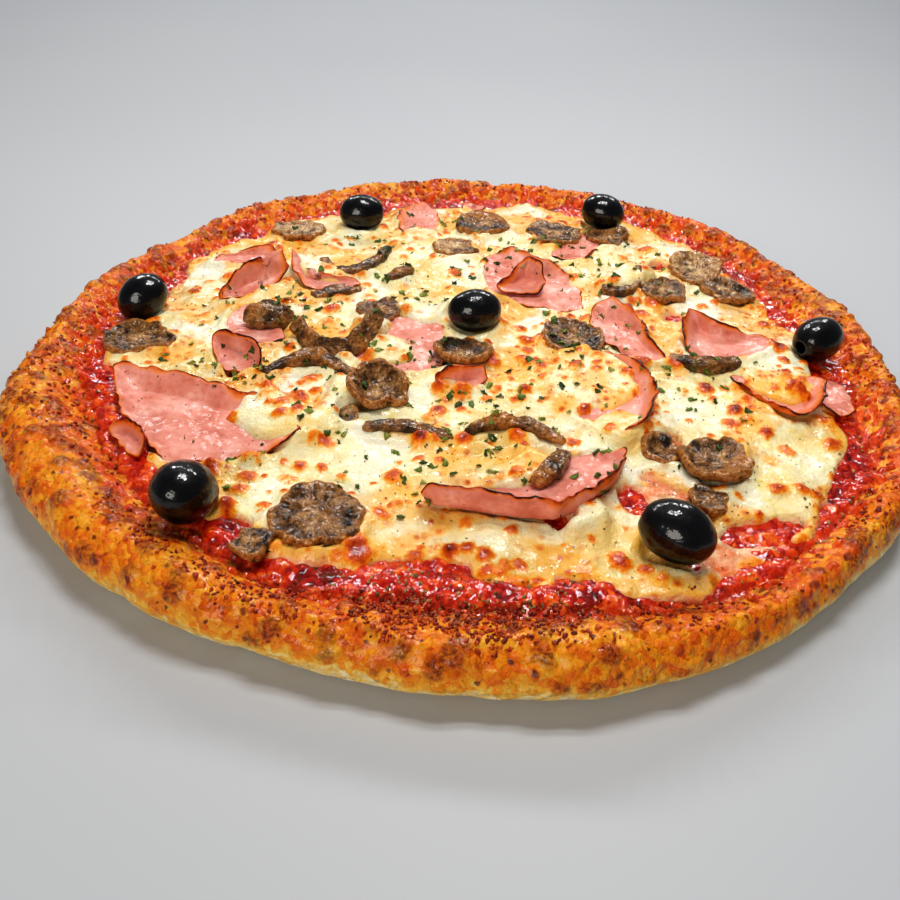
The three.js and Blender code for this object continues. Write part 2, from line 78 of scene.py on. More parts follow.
# %% Gradient noise and cells
table = np.random.default_rng(7)
table_rows = 512
directions = table.normal(size=(table_rows, 3))
directions /= np.linalg.norm(directions, axis=1)[:, None]
jitter = table.random(size=(table_rows, 3))
tones = table.random(table_rows)


def lattice(points, size, seed):
    """Each point's lattice cell and its place inside that cell."""
    place = points / size + 19.7 * seed
    cell = np.floor(place).astype(np.int64)
    return cell, place - cell


def key_of(cell):
    """A cell's row in the tables."""
    mixed = cell * (73856093, 19349663, 83492791)  # large primes, so that neighbours differ
    return (mixed[:, 0] ^ mixed[:, 1] ^ mixed[:, 2]) % table_rows


def noise(points, size, seed=0):
    """Smooth noise, about -1 to 1, whose bumps are about size mm wide."""
    cell, inside = lattice(points, size, seed)
    fade = inside**3 * (inside * (6 * inside - 15) + 10)
    total = np.zeros(len(points))
    for corner in itertools.product((0, 1), repeat=3):
        weight = np.prod(np.where(corner, fade, 1 - fade), axis=1)
        total += weight * np.einsum("ij,ij->i", directions[key_of(cell + corner)], inside - corner)
    return 1.6 * total


def grains(points, size, seed=0):
    """Cells about size mm wide: a dome from 1 at each cell's seed to 0, and a number per cell."""
    cell, inside = lattice(points, size, seed)
    nearest = np.full(len(points), 9.0)
    tone = np.zeros(len(points))
    for corner in itertools.product((-1, 0, 1), repeat=3):
        key = key_of(cell + corner)
        distance = np.linalg.norm(jitter[key] + corner - inside, axis=1)
        closer = distance < nearest
        nearest[closer], tone[closer] = distance[closer], tones[key[closer]]
    return np.clip(1 - nearest**2 / 0.7, 0, 1), tone


def step(low, high, value):
    """0 below low, 1 above high, and smooth between."""
    t = np.clip((value - low) / (high - low), 0, 1)
    return t * t * (3 - 2 * t)


# %% [markdown]
# ## Reading shapes off the solids
# Each solid is read with rays: down through a grid of points for heights, and inwards for an outline.
# A ray tree of a solid answers both, and works whatever its triangles are like.

# %% Ray trees, heights and outlines
DOWN = Vector((0, 0, -1))


def corners_of(name):
    """A solid's corners in mm."""
    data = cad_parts[name].data
    flat = np.zeros(len(data.vertices) * 3)
    data.vertices.foreach_get("co", flat)
    return flat.reshape(-1, 3) / MM


def tree_of(*names):
    """A ray tree of some solids, in mm."""
    corners, faces = [], []
    for name in names:
        start = len(corners)
        corners += corners_of(name).tolist()
        faces += [[start + i for i in f.vertices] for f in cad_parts[name].data.polygons]
    return BVHTree.FromPolygons(corners, faces)


def heights(tree, x, y, above=60.0):
    """The height of a tree's top at each place, or nan where there is nothing."""
    found = np.full(x.size, np.nan)
    for i, (px, py) in enumerate(zip(x.ravel().tolist(), y.ravel().tolist())):
        hit = tree.ray_cast((px, py, above), DOWN)[0]
        if hit is not None:
            found[i] = hit.z
    return found.reshape(x.shape)


def outline(tree, angles, height):
    """The radius of a round solid at a height, read from outside along each angle."""
    radii = []
    for angle in angles.tolist():
        inwards = Vector((-math.cos(angle), -math.sin(angle), 0))
        hit = tree.ray_cast(Vector((0, 0, height)) - 220 * inwards, inwards)[0]
        radii.append(math.hypot(hit.x, hit.y))
    return np.array(radii)


def round_blur(values, width):
    """Blurs rows of values that run once round a circle. The width is in samples."""
    count = values.shape[-1]
    reach = np.minimum(np.arange(count), count - np.arange(count))
    kernel = np.exp(-0.5 * (reach / width) ** 2)
    kernel /= kernel.sum()
    return np.real(np.fft.ifft(np.fft.fft(values, axis=-1) * np.fft.fft(kernel), axis=-1))


names = sorted(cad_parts)
hams = [n for n in names if n.startswith("ham")]
mushrooms = [n for n in names if n.startswith("mushroom")]
olives = [n for n in names if n.startswith("olive")]
print("toppings:", len(hams), "ham,", len(mushrooms), "mushroom,", len(olives), "olives")

# %% [markdown]
# ## Materials, in general
# Colours are written as the sRGB hex values that a colour picker shows, and one function turns them
# into the linear values that shaders use. One small function adds a node with its settings and links.
# Patterns read Object coordinates, in metres, so a pattern's scale is one over its real size.

# %% Colour and node helpers
NOISE, CELLS, RAMP = "ShaderNodeTexNoise", "ShaderNodeTexVoronoi", "ShaderNodeValToRGB"
MATH, RANGE, SPLIT = "ShaderNodeMath", "ShaderNodeMapRange", "ShaderNodeSeparateColor"
BUMP, FINISH, OUTPUT = "ShaderNodeBump", "ShaderNodeBsdfPrincipled", "ShaderNodeOutputMaterial"
VALUE, VECTOR, XYZ = "ShaderNodeAttribute", "ShaderNodeVectorMath", "ShaderNodeCombineXYZ"
# Kinds that are always used with one setting: a colour mix, a x b, and a x b + c.
MIX = "ShaderNodeMix", {"data_type": "RGBA"}
PRODUCT = MATH, {"operation": "MULTIPLY"}
SCALED_SUM = MATH, {"operation": "MULTIPLY_ADD"}


def colour(code):
    """An sRGB hex value as linear red, green, blue and alpha."""
    parts = [int(code[i : i + 2], 16) / 255 for i in (1, 3, 5)]
    return [p / 12.92 if p <= 0.04045 else ((p + 0.055) / 1.055) ** 2.4 for p in parts] + [1.0]


def add(tree, kind, *feeds, out=None, stops=(), **named):
    """Adds a node, and gives back the output called out, or else its first open one, or the node.

    Feeds go into its open inputs in order. A name with a capital letter is an input, and any other
    a setting. Stops are the places and colours of a ramp."""
    kind, preset = kind if isinstance(kind, tuple) else (kind, {})
    node = tree.nodes.new(kind)
    for key, value in (preset | named).items():
        if key[0].islower():
            setattr(node, key, value)
    pairs = list(zip([s for s in node.inputs if s.enabled], feeds))
    pairs += [(node.inputs[key.replace("_", " ")], named[key]) for key in named if key[0].isupper()]
    for socket, value in pairs:
        if isinstance(value, bpy.types.NodeSocket):
            tree.links.new(value, socket)
        elif value is not None:
            socket.default_value = value
    for number, (place, code) in enumerate(stops):
        elements = node.color_ramp.elements
        if number == 0:
            elements.remove(elements[1])
            elements[0].position = place
        element = elements[0] if number == 0 else elements.new(place)
        element.color = colour(code)
    if out:
        return node.outputs[out]
    return next((s for s in node.outputs if s.enabled), node)


def per(size_mm):
    """The texture scale whose pattern repeats about every size_mm."""
    return 1 / (size_mm * MM)


def new_material(name):
    """A material, its empty node tree, and the Object coordinates in it."""
    material = bpy.data.materials.new(name)
    material.use_nodes = True
    tree = material.node_tree
    tree.nodes.clear()
    return material, tree, add(tree, "ShaderNodeTexCoord", out="Object")


# %% Mesh helpers
def fan(centre, ring):
    """Triangles from one point to a closed ring of points."""
    return [[centre, a, b] for a, b in zip(ring, ring[1:] + ring[:1])]


def ring_faces(rows, around):
    """Faces through rings of points, closed by two more points: in the first ring and in the last."""
    count = rows * around
    index = np.arange(count).reshape(rows, around)
    after = np.roll(index, -1, axis=1)
    quads = np.stack([index[:-1], after[:-1], after[1:], index[1:]], axis=-1)
    first = [f[::-1] for f in fan(count, list(range(around)))]
    return quads.reshape(-1, 4).tolist() + first + fan(count + 1, list(range(count - around, count)))


def grid_normals(points):
    """Normals of rows of points, each row a closed ring."""
    along = np.roll(points, -1, axis=1) - np.roll(points, 1, axis=1)
    across = np.gradient(points, axis=0)
    normal = np.cross(along, across)
    return normal / np.maximum(np.linalg.norm(normal, axis=-1, keepdims=True), 1e-9)


def is_inside_out(points, faces):
    """True if a closed mesh has a negative volume."""
    volume = 0.0
    for sides in (3, 4):
        group = np.array([f for f in faces if len(f) == sides])
        for k in range(1, sides - 1 if len(group) else 1):
            a, b, c = (points[group[:, i]] for i in (0, k, k + 1))
            volume += np.einsum("ij,ij->", a, np.cross(b, c))
    return volume < 0


def in_scene(name, data):
    """A new object in the scene that shows a mesh, lamp or camera."""
    made = bpy.data.objects.new(name, data)
    bpy.context.scene.collection.objects.link(made)
    return made


def new_mesh(name, points, faces, **attributes):
    """A mesh from points in mm. The attributes are a number for each point."""
    data = bpy.data.meshes.new(name)
    data.from_pydata((points * MM).tolist(), [], faces)
    for key, values in attributes.items():
        layer = data.attributes.new(key, "FLOAT", "POINT")
        layer.data.foreach_set("value", np.asarray(values, dtype=np.float32))
    return data


def finish_piece(name, data, material):
    """A smooth piece of one material that rides on the pizza."""
    data.polygons.foreach_set("use_smooth", np.ones(len(data.polygons), dtype=bool))
    data.materials.clear()
    data.materials.append(material)
    piece = in_scene(name, data)
    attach(piece, "root")
    return piece


def make_piece(name, points, faces, material, slot, node, **attributes):
    """A closed mesh from points in mm that stands for a solid."""
    if is_inside_out(points, faces):
        faces = [f[::-1] for f in faces]
    piece = finish_piece(name, new_mesh(name, points, faces, **attributes), material)
    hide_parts(node)
    return piece


# %% [markdown]
# ## The crust
# The real crust is leopard-spotted dough: cream and smooth low on its side, where it met the pan,
# golden and grainy on top, with red-brown scorched pimples and an orange stain beside the sauce.
# A subdivision surface would round it too evenly. So the rim's section is read from the solid at
# many angles, smoothed, and then moved along its normals by noise of several sizes.

# %% Read the rim's section
crust_tree = tree_of("crust")
turns = 1080  # about 0.9 mm apart along the edge
angle = np.linspace(0, 2 * math.pi, turns, endpoint=False)
widest = 7.5  # the height at which the rim is widest
outer = outline(crust_tree, angle, widest)
core_inset, core_height = 8.5, 5.8  # a line inside the rim, from which its section is read
core_radius = round_blur(outer, 12) - core_inset
# Round the section: coarse steps from the underside over the top, and fine ones down to the sauce.
section = np.radians(np.concatenate([np.linspace(-118, 100, 56), np.linspace(103, 164, 18)]))
reach = np.zeros((len(section), turns))
every = 4  # the rays go out at each fourth angle, and the blur fills in the rest
for j in range(0, turns, every):
    out = Vector((math.cos(angle[j]), math.sin(angle[j]), 0))
    start = core_radius[j] * out + Vector((0, 0, core_height))
    for i, tilt in enumerate(section.tolist()):
        ray = math.cos(tilt) * out - math.sin(tilt) * DOWN
        reach[i, j : j + every] = crust_tree.ray_cast(start, ray)[3]
reach = round_blur(reach, 7)
for _ in range(2):
    reach[1:-1] = 0.25 * reach[:-2] + 0.5 * reach[1:-1] + 0.25 * reach[2:]
floor_height = float(heights(crust_tree, np.zeros(1), np.zeros(1))[0])
print("crust: radius", outer.min().round(1), "to", outer.max().round(1), "mm")
print("dough:", floor_height, "mm thick under the sauce")

# %% Where the sauce ends on the rim
sauce_edge_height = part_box("tomato_sauce")[1].z / MM - 0.25
sauce_edge = round_blur(outline(tree_of("tomato_sauce"), angle, sauce_edge_height), 5)


def past_sauce(points):
    """How far outside the sauce's edge each point lies, in mm, with a ragged edge."""
    turn = np.mod(np.arctan2(points[:, 1], points[:, 0]), 2 * math.pi) / (2 * math.pi) * turns
    low = np.floor(turn).astype(int) % turns
    share = turn - np.floor(turn)
    edge = (1 - share) * sauce_edge[low] + share * sauce_edge[(low + 1) % turns]
    level = points * [1, 1, 0]
    ragged = 2.4 * noise(level, 13, 11) + 1.6 * noise(level, 5, 12) + 0.8 * noise(level, 2.4, 13)
    return np.hypot(points[:, 0], points[:, 1]) - edge + ragged


# %% Shape the crust
radius = core_radius + np.cos(section)[:, None] * reach
height = core_height + np.sin(section)[:, None] * reach
rim = np.stack([radius * np.cos(angle), radius * np.sin(angle), height], axis=-1)
normal = grid_normals(rim).reshape(-1, 3)
normal *= np.sign((normal * (rim - rim.mean(0)).reshape(-1, 3)).sum())
flat = rim.reshape(-1, 3)
resting = step(0.2, 3.0, flat[:, 2])  # the underside stays flat
upper = step(5.5, 11.5, flat[:, 2])
pimple, pimple_tone = grains(flat, 6.0, 5)
pimple = step(0.35, 0.9, pimple) * (pimple_tone > 0.5)
grain, grain_tone = grains(flat, 2.6, 6)
push = 0.9 * noise(flat, 26, 1) + 0.6 * noise(flat, 11, 2) + 0.3 * (1 - upper) * noise(flat, 6, 3)
push += upper * (0.6 * noise(flat, 5, 4) + 0.9 * grain * grain_tone + 0.7 * pimple)
flat = flat + (resting * push)[:, None] * normal
flat[:, 2] = np.maximum(flat[:, 2], 0)
crust_points = np.vstack([flat, [[0, 0, 0], [0, 0, floor_height]]])
crust_faces = ring_faces(len(section), turns)
print("crust:", len(crust_points), "points")


# %% Crust material
# Baked wheat dough, brushed with oil: matt and porous, slightly shiny on top. Its colour changes
# from grain to grain, so cells set it as much as the broad baking does.
def make_crust_material():
    material, tree, place = new_material("baked_dough")
    broad = add(tree, NOISE, place, Scale=per(16), Detail=3)
    mottle = add(tree, NOISE, place, Scale=per(4.5), Detail=5, Roughness=0.65)
    fine = add(tree, NOISE, place, Scale=per(1.1), Detail=3, Roughness=0.6)
    push = mottle.node.outputs["Color"]  # bends the cells, so that none is straight
    bent = add(tree, VECTOR, push, (3 * MM,) * 3, place, operation="MULTIPLY_ADD")
    cell = add(tree, CELLS, bent, Scale=per(2.1))
    tone = add(tree, SPLIT, cell.node.outputs["Color"])
    baked = add(tree, VALUE, attribute_name="baked", out="Fac")
    heat = add(tree, SCALED_SUM, broad, 0.42, baked)
    heat = add(tree, SCALED_SUM, mottle, 0.75, heat)
    heat = add(tree, SCALED_SUM, tone, 0.3, heat)
    heat = add(tree, SCALED_SUM, fine, 0.45, heat)
    heat = add(tree, RANGE, heat, 0.86, 2.1)
    stops = [(0.0, "#FFEFC8"), (0.16, "#FFDC88"), (0.3, "#FFC040"), (0.46, "#FC9E16"), (0.6, "#F27A06")]
    base = add(tree, RAMP, heat, stops=[*stops, (0.76, "#D85202"), (0.9, "#A43002"), (1.0, "#581602")])
    stain = add(tree, VALUE, attribute_name="stain", out="Fac")
    stain = add(tree, PRODUCT, stain, add(tree, RANGE, mottle, 0.3, 0.6))
    red = add(tree, RAMP, tone, stops=[(0.1, "#FFAE30"), (0.45, "#FC7414"), (0.8, "#D83A06")])
    base = add(tree, MIX, stain, base, red)
    # Scorched spots: some cells have one, and each is darkest in its middle.
    on_top = add(tree, RANGE, baked, 0.2, 0.5)
    reach, fade = 0.42, 0.12
    for size, edge, middle in ((6.0, "#C04C0E", "#742408"), (2.6, "#8E340C", "#401406")):
        spot = add(tree, CELLS, bent, Scale=per(size))
        spot_tone = add(tree, SPLIT, spot.node.outputs["Color"])
        spot_tone = add(tree, SCALED_SUM, spot_tone, 0.8, spot)
        spot_mask = add(tree, PRODUCT, add(tree, RANGE, spot_tone, reach, reach - fade), on_top)
        burnt = add(tree, RAMP, spot, stops=[(0.08, middle), (0.34, edge)])
        base = add(tree, MIX, add(tree, PRODUCT, spot_mask, 0.85), base, burnt)
    scorch = add(tree, VALUE, attribute_name="scorch", out="Fac")
    scorch = add(tree, PRODUCT, scorch, add(tree, RANGE, fine, 0.3, 0.6, 0.45, 1.0))
    black = add(tree, RAMP, fine, stops=[(0.4, "#A83C0C"), (0.65, "#541A08")])
    base = add(tree, MIX, scorch, base, black)
    bump = add(tree, BUMP, Height=mottle, Distance=0.9 * MM, Strength=0.5)
    bump = add(tree, BUMP, Height=cell, Distance=-1.1 * MM, Strength=0.9, Normal=bump)
    bump = add(tree, BUMP, Height=fine, Distance=0.6 * MM, Strength=1.0, Normal=bump)
    shine = add(tree, RANGE, fine, 0.35, 0.65, 0.5, 0.28)
    oil = add(tree, BUMP, Height=cell, Distance=-0.3 * MM, Strength=0.7)
    finish = add(
        tree, FINISH, Base_Color=base, Roughness=shine, IOR=1.45, Normal=bump, Specular_IOR_Level=0.2,
        Coat_Weight=0.35, Coat_Roughness=0.1, Coat_Normal=oil,
        Subsurface_Weight=0.06, Subsurface_Scale=1.2 * MM, Subsurface_Radius=(1.0, 0.5, 0.2),
    )
    add(tree, OUTPUT, Surface=finish)
    return material


# %% Make the crust
crust_past = past_sauce(crust_points)
crust_up = step(3.5, 12.5, crust_points[:, 2] + 1.5 * noise(crust_points, 18, 22))
inner_slope = step(12, 0, crust_past)
pimple = np.append(pimple, [0, 0])
make_piece(
    "pizza_crust", crust_points, crust_faces, make_crust_material(), "crust", "crust",
    baked=0.05 + 0.53 * crust_up + 0.06 * inner_slope * crust_up + 0.14 * noise(crust_points, 30, 21),
    scorch=pimple * step(6, 11, crust_points[:, 2]) * 0.85,
    stain=step(10.5, 0.0, crust_past) * step(6, 9, crust_points[:, 2]),
)

# %% [markdown]
# ## One grid for sauce and cheese
# Sauce and cheese are sheets seen from above, so each is a height over one square grid. Where one
# sheet dips below the next, the eye sees a soft wet edge, with no seam to model. This is why the
# cheese goes on a little under the sauce, and the sauce under the rim, instead of stopping there.

# %% The grid and blurring on it
pitch = 0.84  # mm between grid points
half = 156.0  # mm from the middle to the grid's sides
line = np.arange(-half, half + pitch / 2, pitch)
grid_x, grid_y = np.meshgrid(line, line)
grid_points = np.stack([grid_x.ravel(), grid_y.ravel(), np.zeros(grid_x.size)], axis=1)
from_middle = np.hypot(grid_x, grid_y)


def on_grid(make, *settings):
    """Noise or grains on the grid."""
    made = make(grid_points, *settings)
    shape = grid_x.shape
    return made.reshape(shape) if isinstance(made, np.ndarray) else [m.reshape(shape) for m in made]


def blur(field, width_mm):
    """A round blur of a field on the grid. A field of true and false counts as 1 and 0."""
    frequency = np.fft.fftfreq(len(line), pitch)
    squared = frequency[:, None] ** 2 + frequency[None, :] ** 2
    kernel = np.exp(-2 * (math.pi * width_mm) ** 2 * squared)
    return np.real(np.fft.ifft2(np.fft.fft2(field.astype(float)) * kernel))


def warped(field, reach_mm, size_mm, seed):
    """A field whose outlines are pushed sideways by noise."""
    index = np.arange(len(line))
    across, along = (reach_mm / pitch * on_grid(noise, size_mm, seed + k) for k in (0, 1))
    row = np.clip((index[:, None] + along).round().astype(int), 0, len(line) - 1)
    column = np.clip((index[None, :] + across).round().astype(int), 0, len(line) - 1)
    return field[row, column]


def sheet_mesh(height_field, wanted, underside):
    """A closed sheet: the wanted part of a height field over a flat underside."""
    cells = wanted[:-1, :-1] & wanted[1:, :-1] & wanted[:-1, 1:] & wanted[1:, 1:]
    index = np.arange(wanted.size).reshape(wanted.shape)
    quads = np.stack([index[:-1, :-1], index[:-1, 1:], index[1:, 1:], index[1:, :-1]], axis=-1)[cells]
    used, inverse = np.unique(quads, return_inverse=True)
    quads = inverse.reshape(-1, 4)
    top = np.stack([grid_x.ravel()[used], grid_y.ravel()[used], height_field.ravel()[used]], axis=1)
    edges = {(a, b) for quad in quads.tolist() for a, b in zip(quad, quad[1:] + quad[:1])}
    follow = {a: b for a, b in edges if (b, a) not in edges}
    loop = [min(follow)]
    while follow[loop[-1]] != loop[0]:
        loop.append(follow[loop[-1]])
    count, length = len(top), len(loop)
    below = top[loop] * [1, 1, 0] + [0, 0, underside]
    centre = count + length
    after = [(i + 1) % length for i in range(length)]
    sides = [[loop[i], count + i, count + j, loop[j]] for i, j in enumerate(after)]
    bottom = [f[::-1] for f in fan(centre, list(range(count, centre)))]
    return np.vstack([top, below, [0, 0, underside]]), quads.tolist() + sides + bottom, used


def make_layer(name, height_field, wanted, underside, material, slot, node, **fields):
    """A sheet as a piece. Its sides and underside have zeros for the fields' values."""
    points, faces, used = sheet_mesh(height_field, wanted, underside)
    values = {key: np.zeros(len(points)) for key in fields}
    for key, field in fields.items():
        values[key][: len(used)] = field.ravel()[used]
    make_piece(name, points, faces, material, slot, node, **values)
    print(name + ":", len(faces), "faces")


# %% [markdown]
# ## The tomato sauce
# Crushed tomato cooked in the oven: wet, grainy, darker where it has dried and brighter where it is
# deep. It is a height field of grains from one to four millimetres, lying on the dough and thinning
# out as it climbs the rim. Its gloss comes from a clear coat, which gives the tiny wet sparkles.

# %% Shape the sauce
crust_top = BVHTree.FromPolygons(crust_points.tolist(), crust_faces)
near_rim = (from_middle > 116) & (from_middle < 160)  # the rim is somewhere in this band
dough = np.where(near_rim | (from_middle > 150), 0.0, floor_height)
dough[near_rim] = np.nan_to_num(heights(crust_top, grid_x[near_rim], grid_y[near_rim]), nan=0.0)
beyond = past_sauce(grid_points).reshape(grid_x.shape)
sauce_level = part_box("cheese")[0].z / MM  # the cheese's underside lies on the sauce
pulp, pulp_tone = on_grid(grains, 3.4, 31)
pips, pips_tone = on_grid(grains, 2.0, 32)
lumps = 1.15 * pulp * (0.35 + pulp_tone) + 0.6 * pips * pips_tone + 0.35 * on_grid(noise, 15, 33)
lumps = warped(lumps, 1.6, 4, 35)  # no grain stays round
depth = 1.5 * step(3.0, -9.0, beyond) + 0.25
# Past its edge the sauce goes on as single lumps on the rim.
lone_lumps = step(0.55, 0.8, pulp) * (pulp_tone > 0.5) * step(7.0, 1.0, beyond)
scattered = np.minimum(step(0.5, -5.0, beyond) + lone_lumps, 1)
sauce_height = blur(dough, 1.5) + depth * scattered + lumps * scattered - 1.2 * (1 - scattered)
# Under the cheese, which is level, the sauce is level too.
settle = step(-16, -10, beyond)
sauce_height = settle * sauce_height + (1 - settle) * (sauce_level + 0.2 + lumps)
sauce_wanted = (beyond < 9.0) & (dough > 4)
print("sauce: level", round(sauce_level, 2), "mm,", int(sauce_wanted.sum()), "grid points")


# %% Sauce material
# Cooked crushed tomato: a thick wet pulp with bits of skin in it. Water gives an IOR of about 1.35.
# Light goes a little way in, which makes thin places bright red and deep ones dark.
def make_sauce_material():
    material, tree, place = new_material("cooked_tomato_sauce")
    broad = add(tree, NOISE, place, Scale=per(16), Detail=2)
    fine = add(tree, NOISE, place, Scale=per(1.4), Detail=4, Roughness=0.6)
    cell = add(tree, CELLS, place, Scale=per(1.5))
    tone = add(tree, SPLIT, cell.node.outputs["Color"])
    lump = add(tree, VALUE, attribute_name="lump", out="Fac")
    mixed = add(tree, SCALED_SUM, tone, 0.35, broad)
    mixed = add(tree, SCALED_SUM, lump, 0.4, mixed)
    mixed = add(tree, RANGE, mixed, 0.4, 1.15)
    stops = [(0.0, "#460200"), (0.3, "#8E0800"), (0.55, "#C01800"), (0.8, "#E43A02"), (1.0, "#FA7418")]
    base = add(tree, RAMP, mixed, stops=stops)
    thin = add(tree, VALUE, attribute_name="thin", out="Fac")
    thin = add(tree, PRODUCT, thin, add(tree, RANGE, fine, 0.35, 0.65, 0.3, 1.0))
    base = add(tree, MIX, thin, base, colour("#E5560F"))
    bump = add(tree, BUMP, Height=cell, Distance=-0.7 * MM, Strength=0.9)
    bump = add(tree, BUMP, Height=fine, Distance=0.5 * MM, Strength=0.9, Normal=bump)
    juice = add(tree, BUMP, Height=fine, Distance=0.12 * MM, Strength=0.5)
    shine = add(tree, RANGE, fine, 0.3, 0.7, 0.4, 0.2)
    finish = add(
        tree, FINISH, Base_Color=base, Roughness=shine, IOR=1.36, Normal=bump, Specular_IOR_Level=0.15,
        Coat_Weight=0.85, Coat_Roughness=0.04, Coat_Normal=juice,
        Subsurface_Weight=0.05, Subsurface_Scale=1 * MM, Subsurface_Radius=(1.0, 0.1, 0.05),
    )
    add(tree, OUTPUT, Surface=finish)
    return material


# %% Make the sauce
make_layer(
    "tomato_sauce_layer", sauce_height, sauce_wanted, floor_height - 3, make_sauce_material(),
    "sauce", "tomato_sauce", thin=step(-7.0, 3.0, beyond), lump=pulp_tone,
)

# %% [markdown]
# ## The melted cheese
# Mozzarella melts into soft lobes, thin and pink where the sauce shows through, thick and creamy in
# the middle. Steam lifts blisters, whose tops toast orange-brown. The lobes start from the solid's
# own outline and openings. Blisters are domes stamped on the height field one by one, and the same
# stamp writes how toasted each point is, so that colour and shape agree.

# %% Where the cheese lies
inner = from_middle < 142  # no topping and no cheese lies farther out


def drape(tree):
    """A tree's heights on the grid, as far out as the cheese goes."""
    found = np.full(grid_x.shape, np.nan)
    found[inner] = heights(tree, grid_x[inner], grid_y[inner])
    return found


cheese_top = drape(tree_of("cheese"))
topping_top = drape(tree_of(*hams, *mushrooms, *olives))
has_cheese = ~np.isnan(cheese_top)
under_topping = ~np.isnan(topping_top)
lobes = warped(warped(has_cheese, 10.0, 20, 141), 4.0, 7, 143)
cover = blur(lobes, 1.8) + 0.16 * on_grid(noise, 4.5, 42)
# Places where the sauce shows through, where the cheese is a thin film over it, and where it is full.
# Each is an oval: its middle and its half lengths in mm, and its turn in degrees.
openings = [
    (82, -97, 15, 4, 15), (62, -92, 8, 4, -30), (48, -87, 4, 7, 10), (27, -97, 4, 6, 20),
    (-12, -117, 13, 4, 0), (-62, -107, 7, 7, 30), (-94, -85, 6, 9, 35), (-109, -56, 5, 14, 10),
    (64, -59, 3, 5, 0), (127, -20, 6, 22, 5), (121, -62, 5, 18, -32), (-115, -35, 7, 14, 10),
]
films = [
    (73, -109, 16, 8, 15), (-98, -68, 6, 12, 25), (56, -86, 12, 8, -15), (108, -96, 10, 10, 0),
]
fills = [(-27, -109, 14, 9, 0), (4, -106, 12, 8, 0), (32, -110, 13, 8, 15), (45, -112, 8, 7, 0)]


def oval(x, y, half_length, half_width, turn, ragged):
    """The distance from an oval's middle on the grid, 1 at its ragged edge."""
    c, s = math.cos(math.radians(turn)), math.sin(math.radians(turn))
    x, y = grid_x - x, grid_y - y
    return np.hypot((x * c + y * s) / half_length, (y * c - x * s) / half_width) + ragged


ragged = 0.3 * on_grid(noise, 9, 51) + 0.15 * on_grid(noise, 4, 52)
for spot in fills:
    cover = np.maximum(cover, step(1.2, 0.7, oval(*spot, ragged)))
for spot in openings:
    cover *= 1 - 0.9 * step(1.3, 0.7, oval(*spot, ragged))
for spot in films:
    cover = np.where(oval(*spot, ragged) < 1, np.minimum(cover, 0.5 + 0.2 * ragged), cover)
cover = blur(cover, 0.8)
body = step(0.36, 0.74, cover)  # 0 at the cheese's edge, 1 where it has its full depth
level = blur(np.nan_to_num(cheese_top), 3) / np.maximum(blur(has_cheese, 3), 0.05)
near_topping = blur(under_topping, 2.2)
# Cheese is drawn up a little round each topping, more here and less there.
swell = 1.9 + 1.5 * on_grid(noise, 14, 45) + 0.8 * on_grid(noise, 5, 46)
hug = np.exp(-(((near_topping - 0.42) / 0.3) ** 2)) * swell
foam, foam_tone = on_grid(grains, 5.0, 47)
waves = 1.5 * on_grid(noise, 15, 43), 0.6 * on_grid(noise, 6, 44)
cheese_height = level + 0.4 + waves[0] + waves[1] + np.maximum(hug, 0)
cheese_height += 1.0 * foam * foam_tone * step(-0.2, 0.4, on_grid(noise, 26, 48))
print("cheese: covers", round(float(has_cheese.sum()) * pitch**2 / 100), "square cm")

# %% Cheese that ran over toppings
# Each run is an oval of cheese on top of whatever lies there: its middle, its half lengths and its
# turn in degrees. These are the slices that the melted cheese has partly swallowed.
runs = [
    (-55, -55, 20, 15, -25), (9, -76, 20, 11, 0), (42, -28, 17, 22, -10),
    (106, -26, 14, 13, 10), (56, 49, 20, 16, 0), (33, -100, 7, 12, 0),
    (-26, -14, 10, 10, 0), (-42, -44, 10, 9, 0), (48, -55, 9, 9, 0), (-14, 18, 10, 12, 0),
    (-34, 4, 8, 7, 0), (-58, 44, 14, 6, -30), (-20, 86, 9, 8, 0),
]
run_over = np.zeros(grid_x.shape)
run_depth = np.zeros(grid_x.shape)
for run in runs:
    far = oval(*run, 0.5 * ragged)
    run_over = np.maximum(run_over, step(1.0, 0.75, far))
    # A run is rounded, and thickest in its middle.
    run_depth = np.maximum(run_depth, 0.5 + 0.1 * min(run[2:4]) * np.sqrt(np.clip(1 - far**2, 0, 1)))
# What the runs lie on: the tops of the toppings, with their steps smoothed away.
bare = np.where(under_topping, topping_top, 0.0)
wide = blur(under_topping, 5.0)
soft_top = np.where(wide > 0.01, blur(bare, 5.0) / np.maximum(wide, 0.01), cheese_height)
low_enough = step(24.0, 21.0, soft_top)  # cheese doesn't run over what stands up
dome = run_over**0.7 * low_enough * step(0.01, 0.12, wide)
cheese_height -= 1.6 * step(0.62, 0.95, near_topping)  # lower under the middle of a topping
cheese_height += np.maximum(soft_top + run_depth - cheese_height, 0) * dome
cheese_height = blur(cheese_height, 0.6)

# %% [markdown]
# ### Blisters
# The large blisters stand where the real ones do. Many small ones are scattered among them from a
# seeded source, more densely in some patches than in others, as hot air in an oven does it.

# %% Stamp the blisters
rng = np.random.default_rng(23)
toast = np.zeros(grid_x.shape)
scorched = np.zeros(grid_x.shape)
small_count, blister_reach = 620, 130
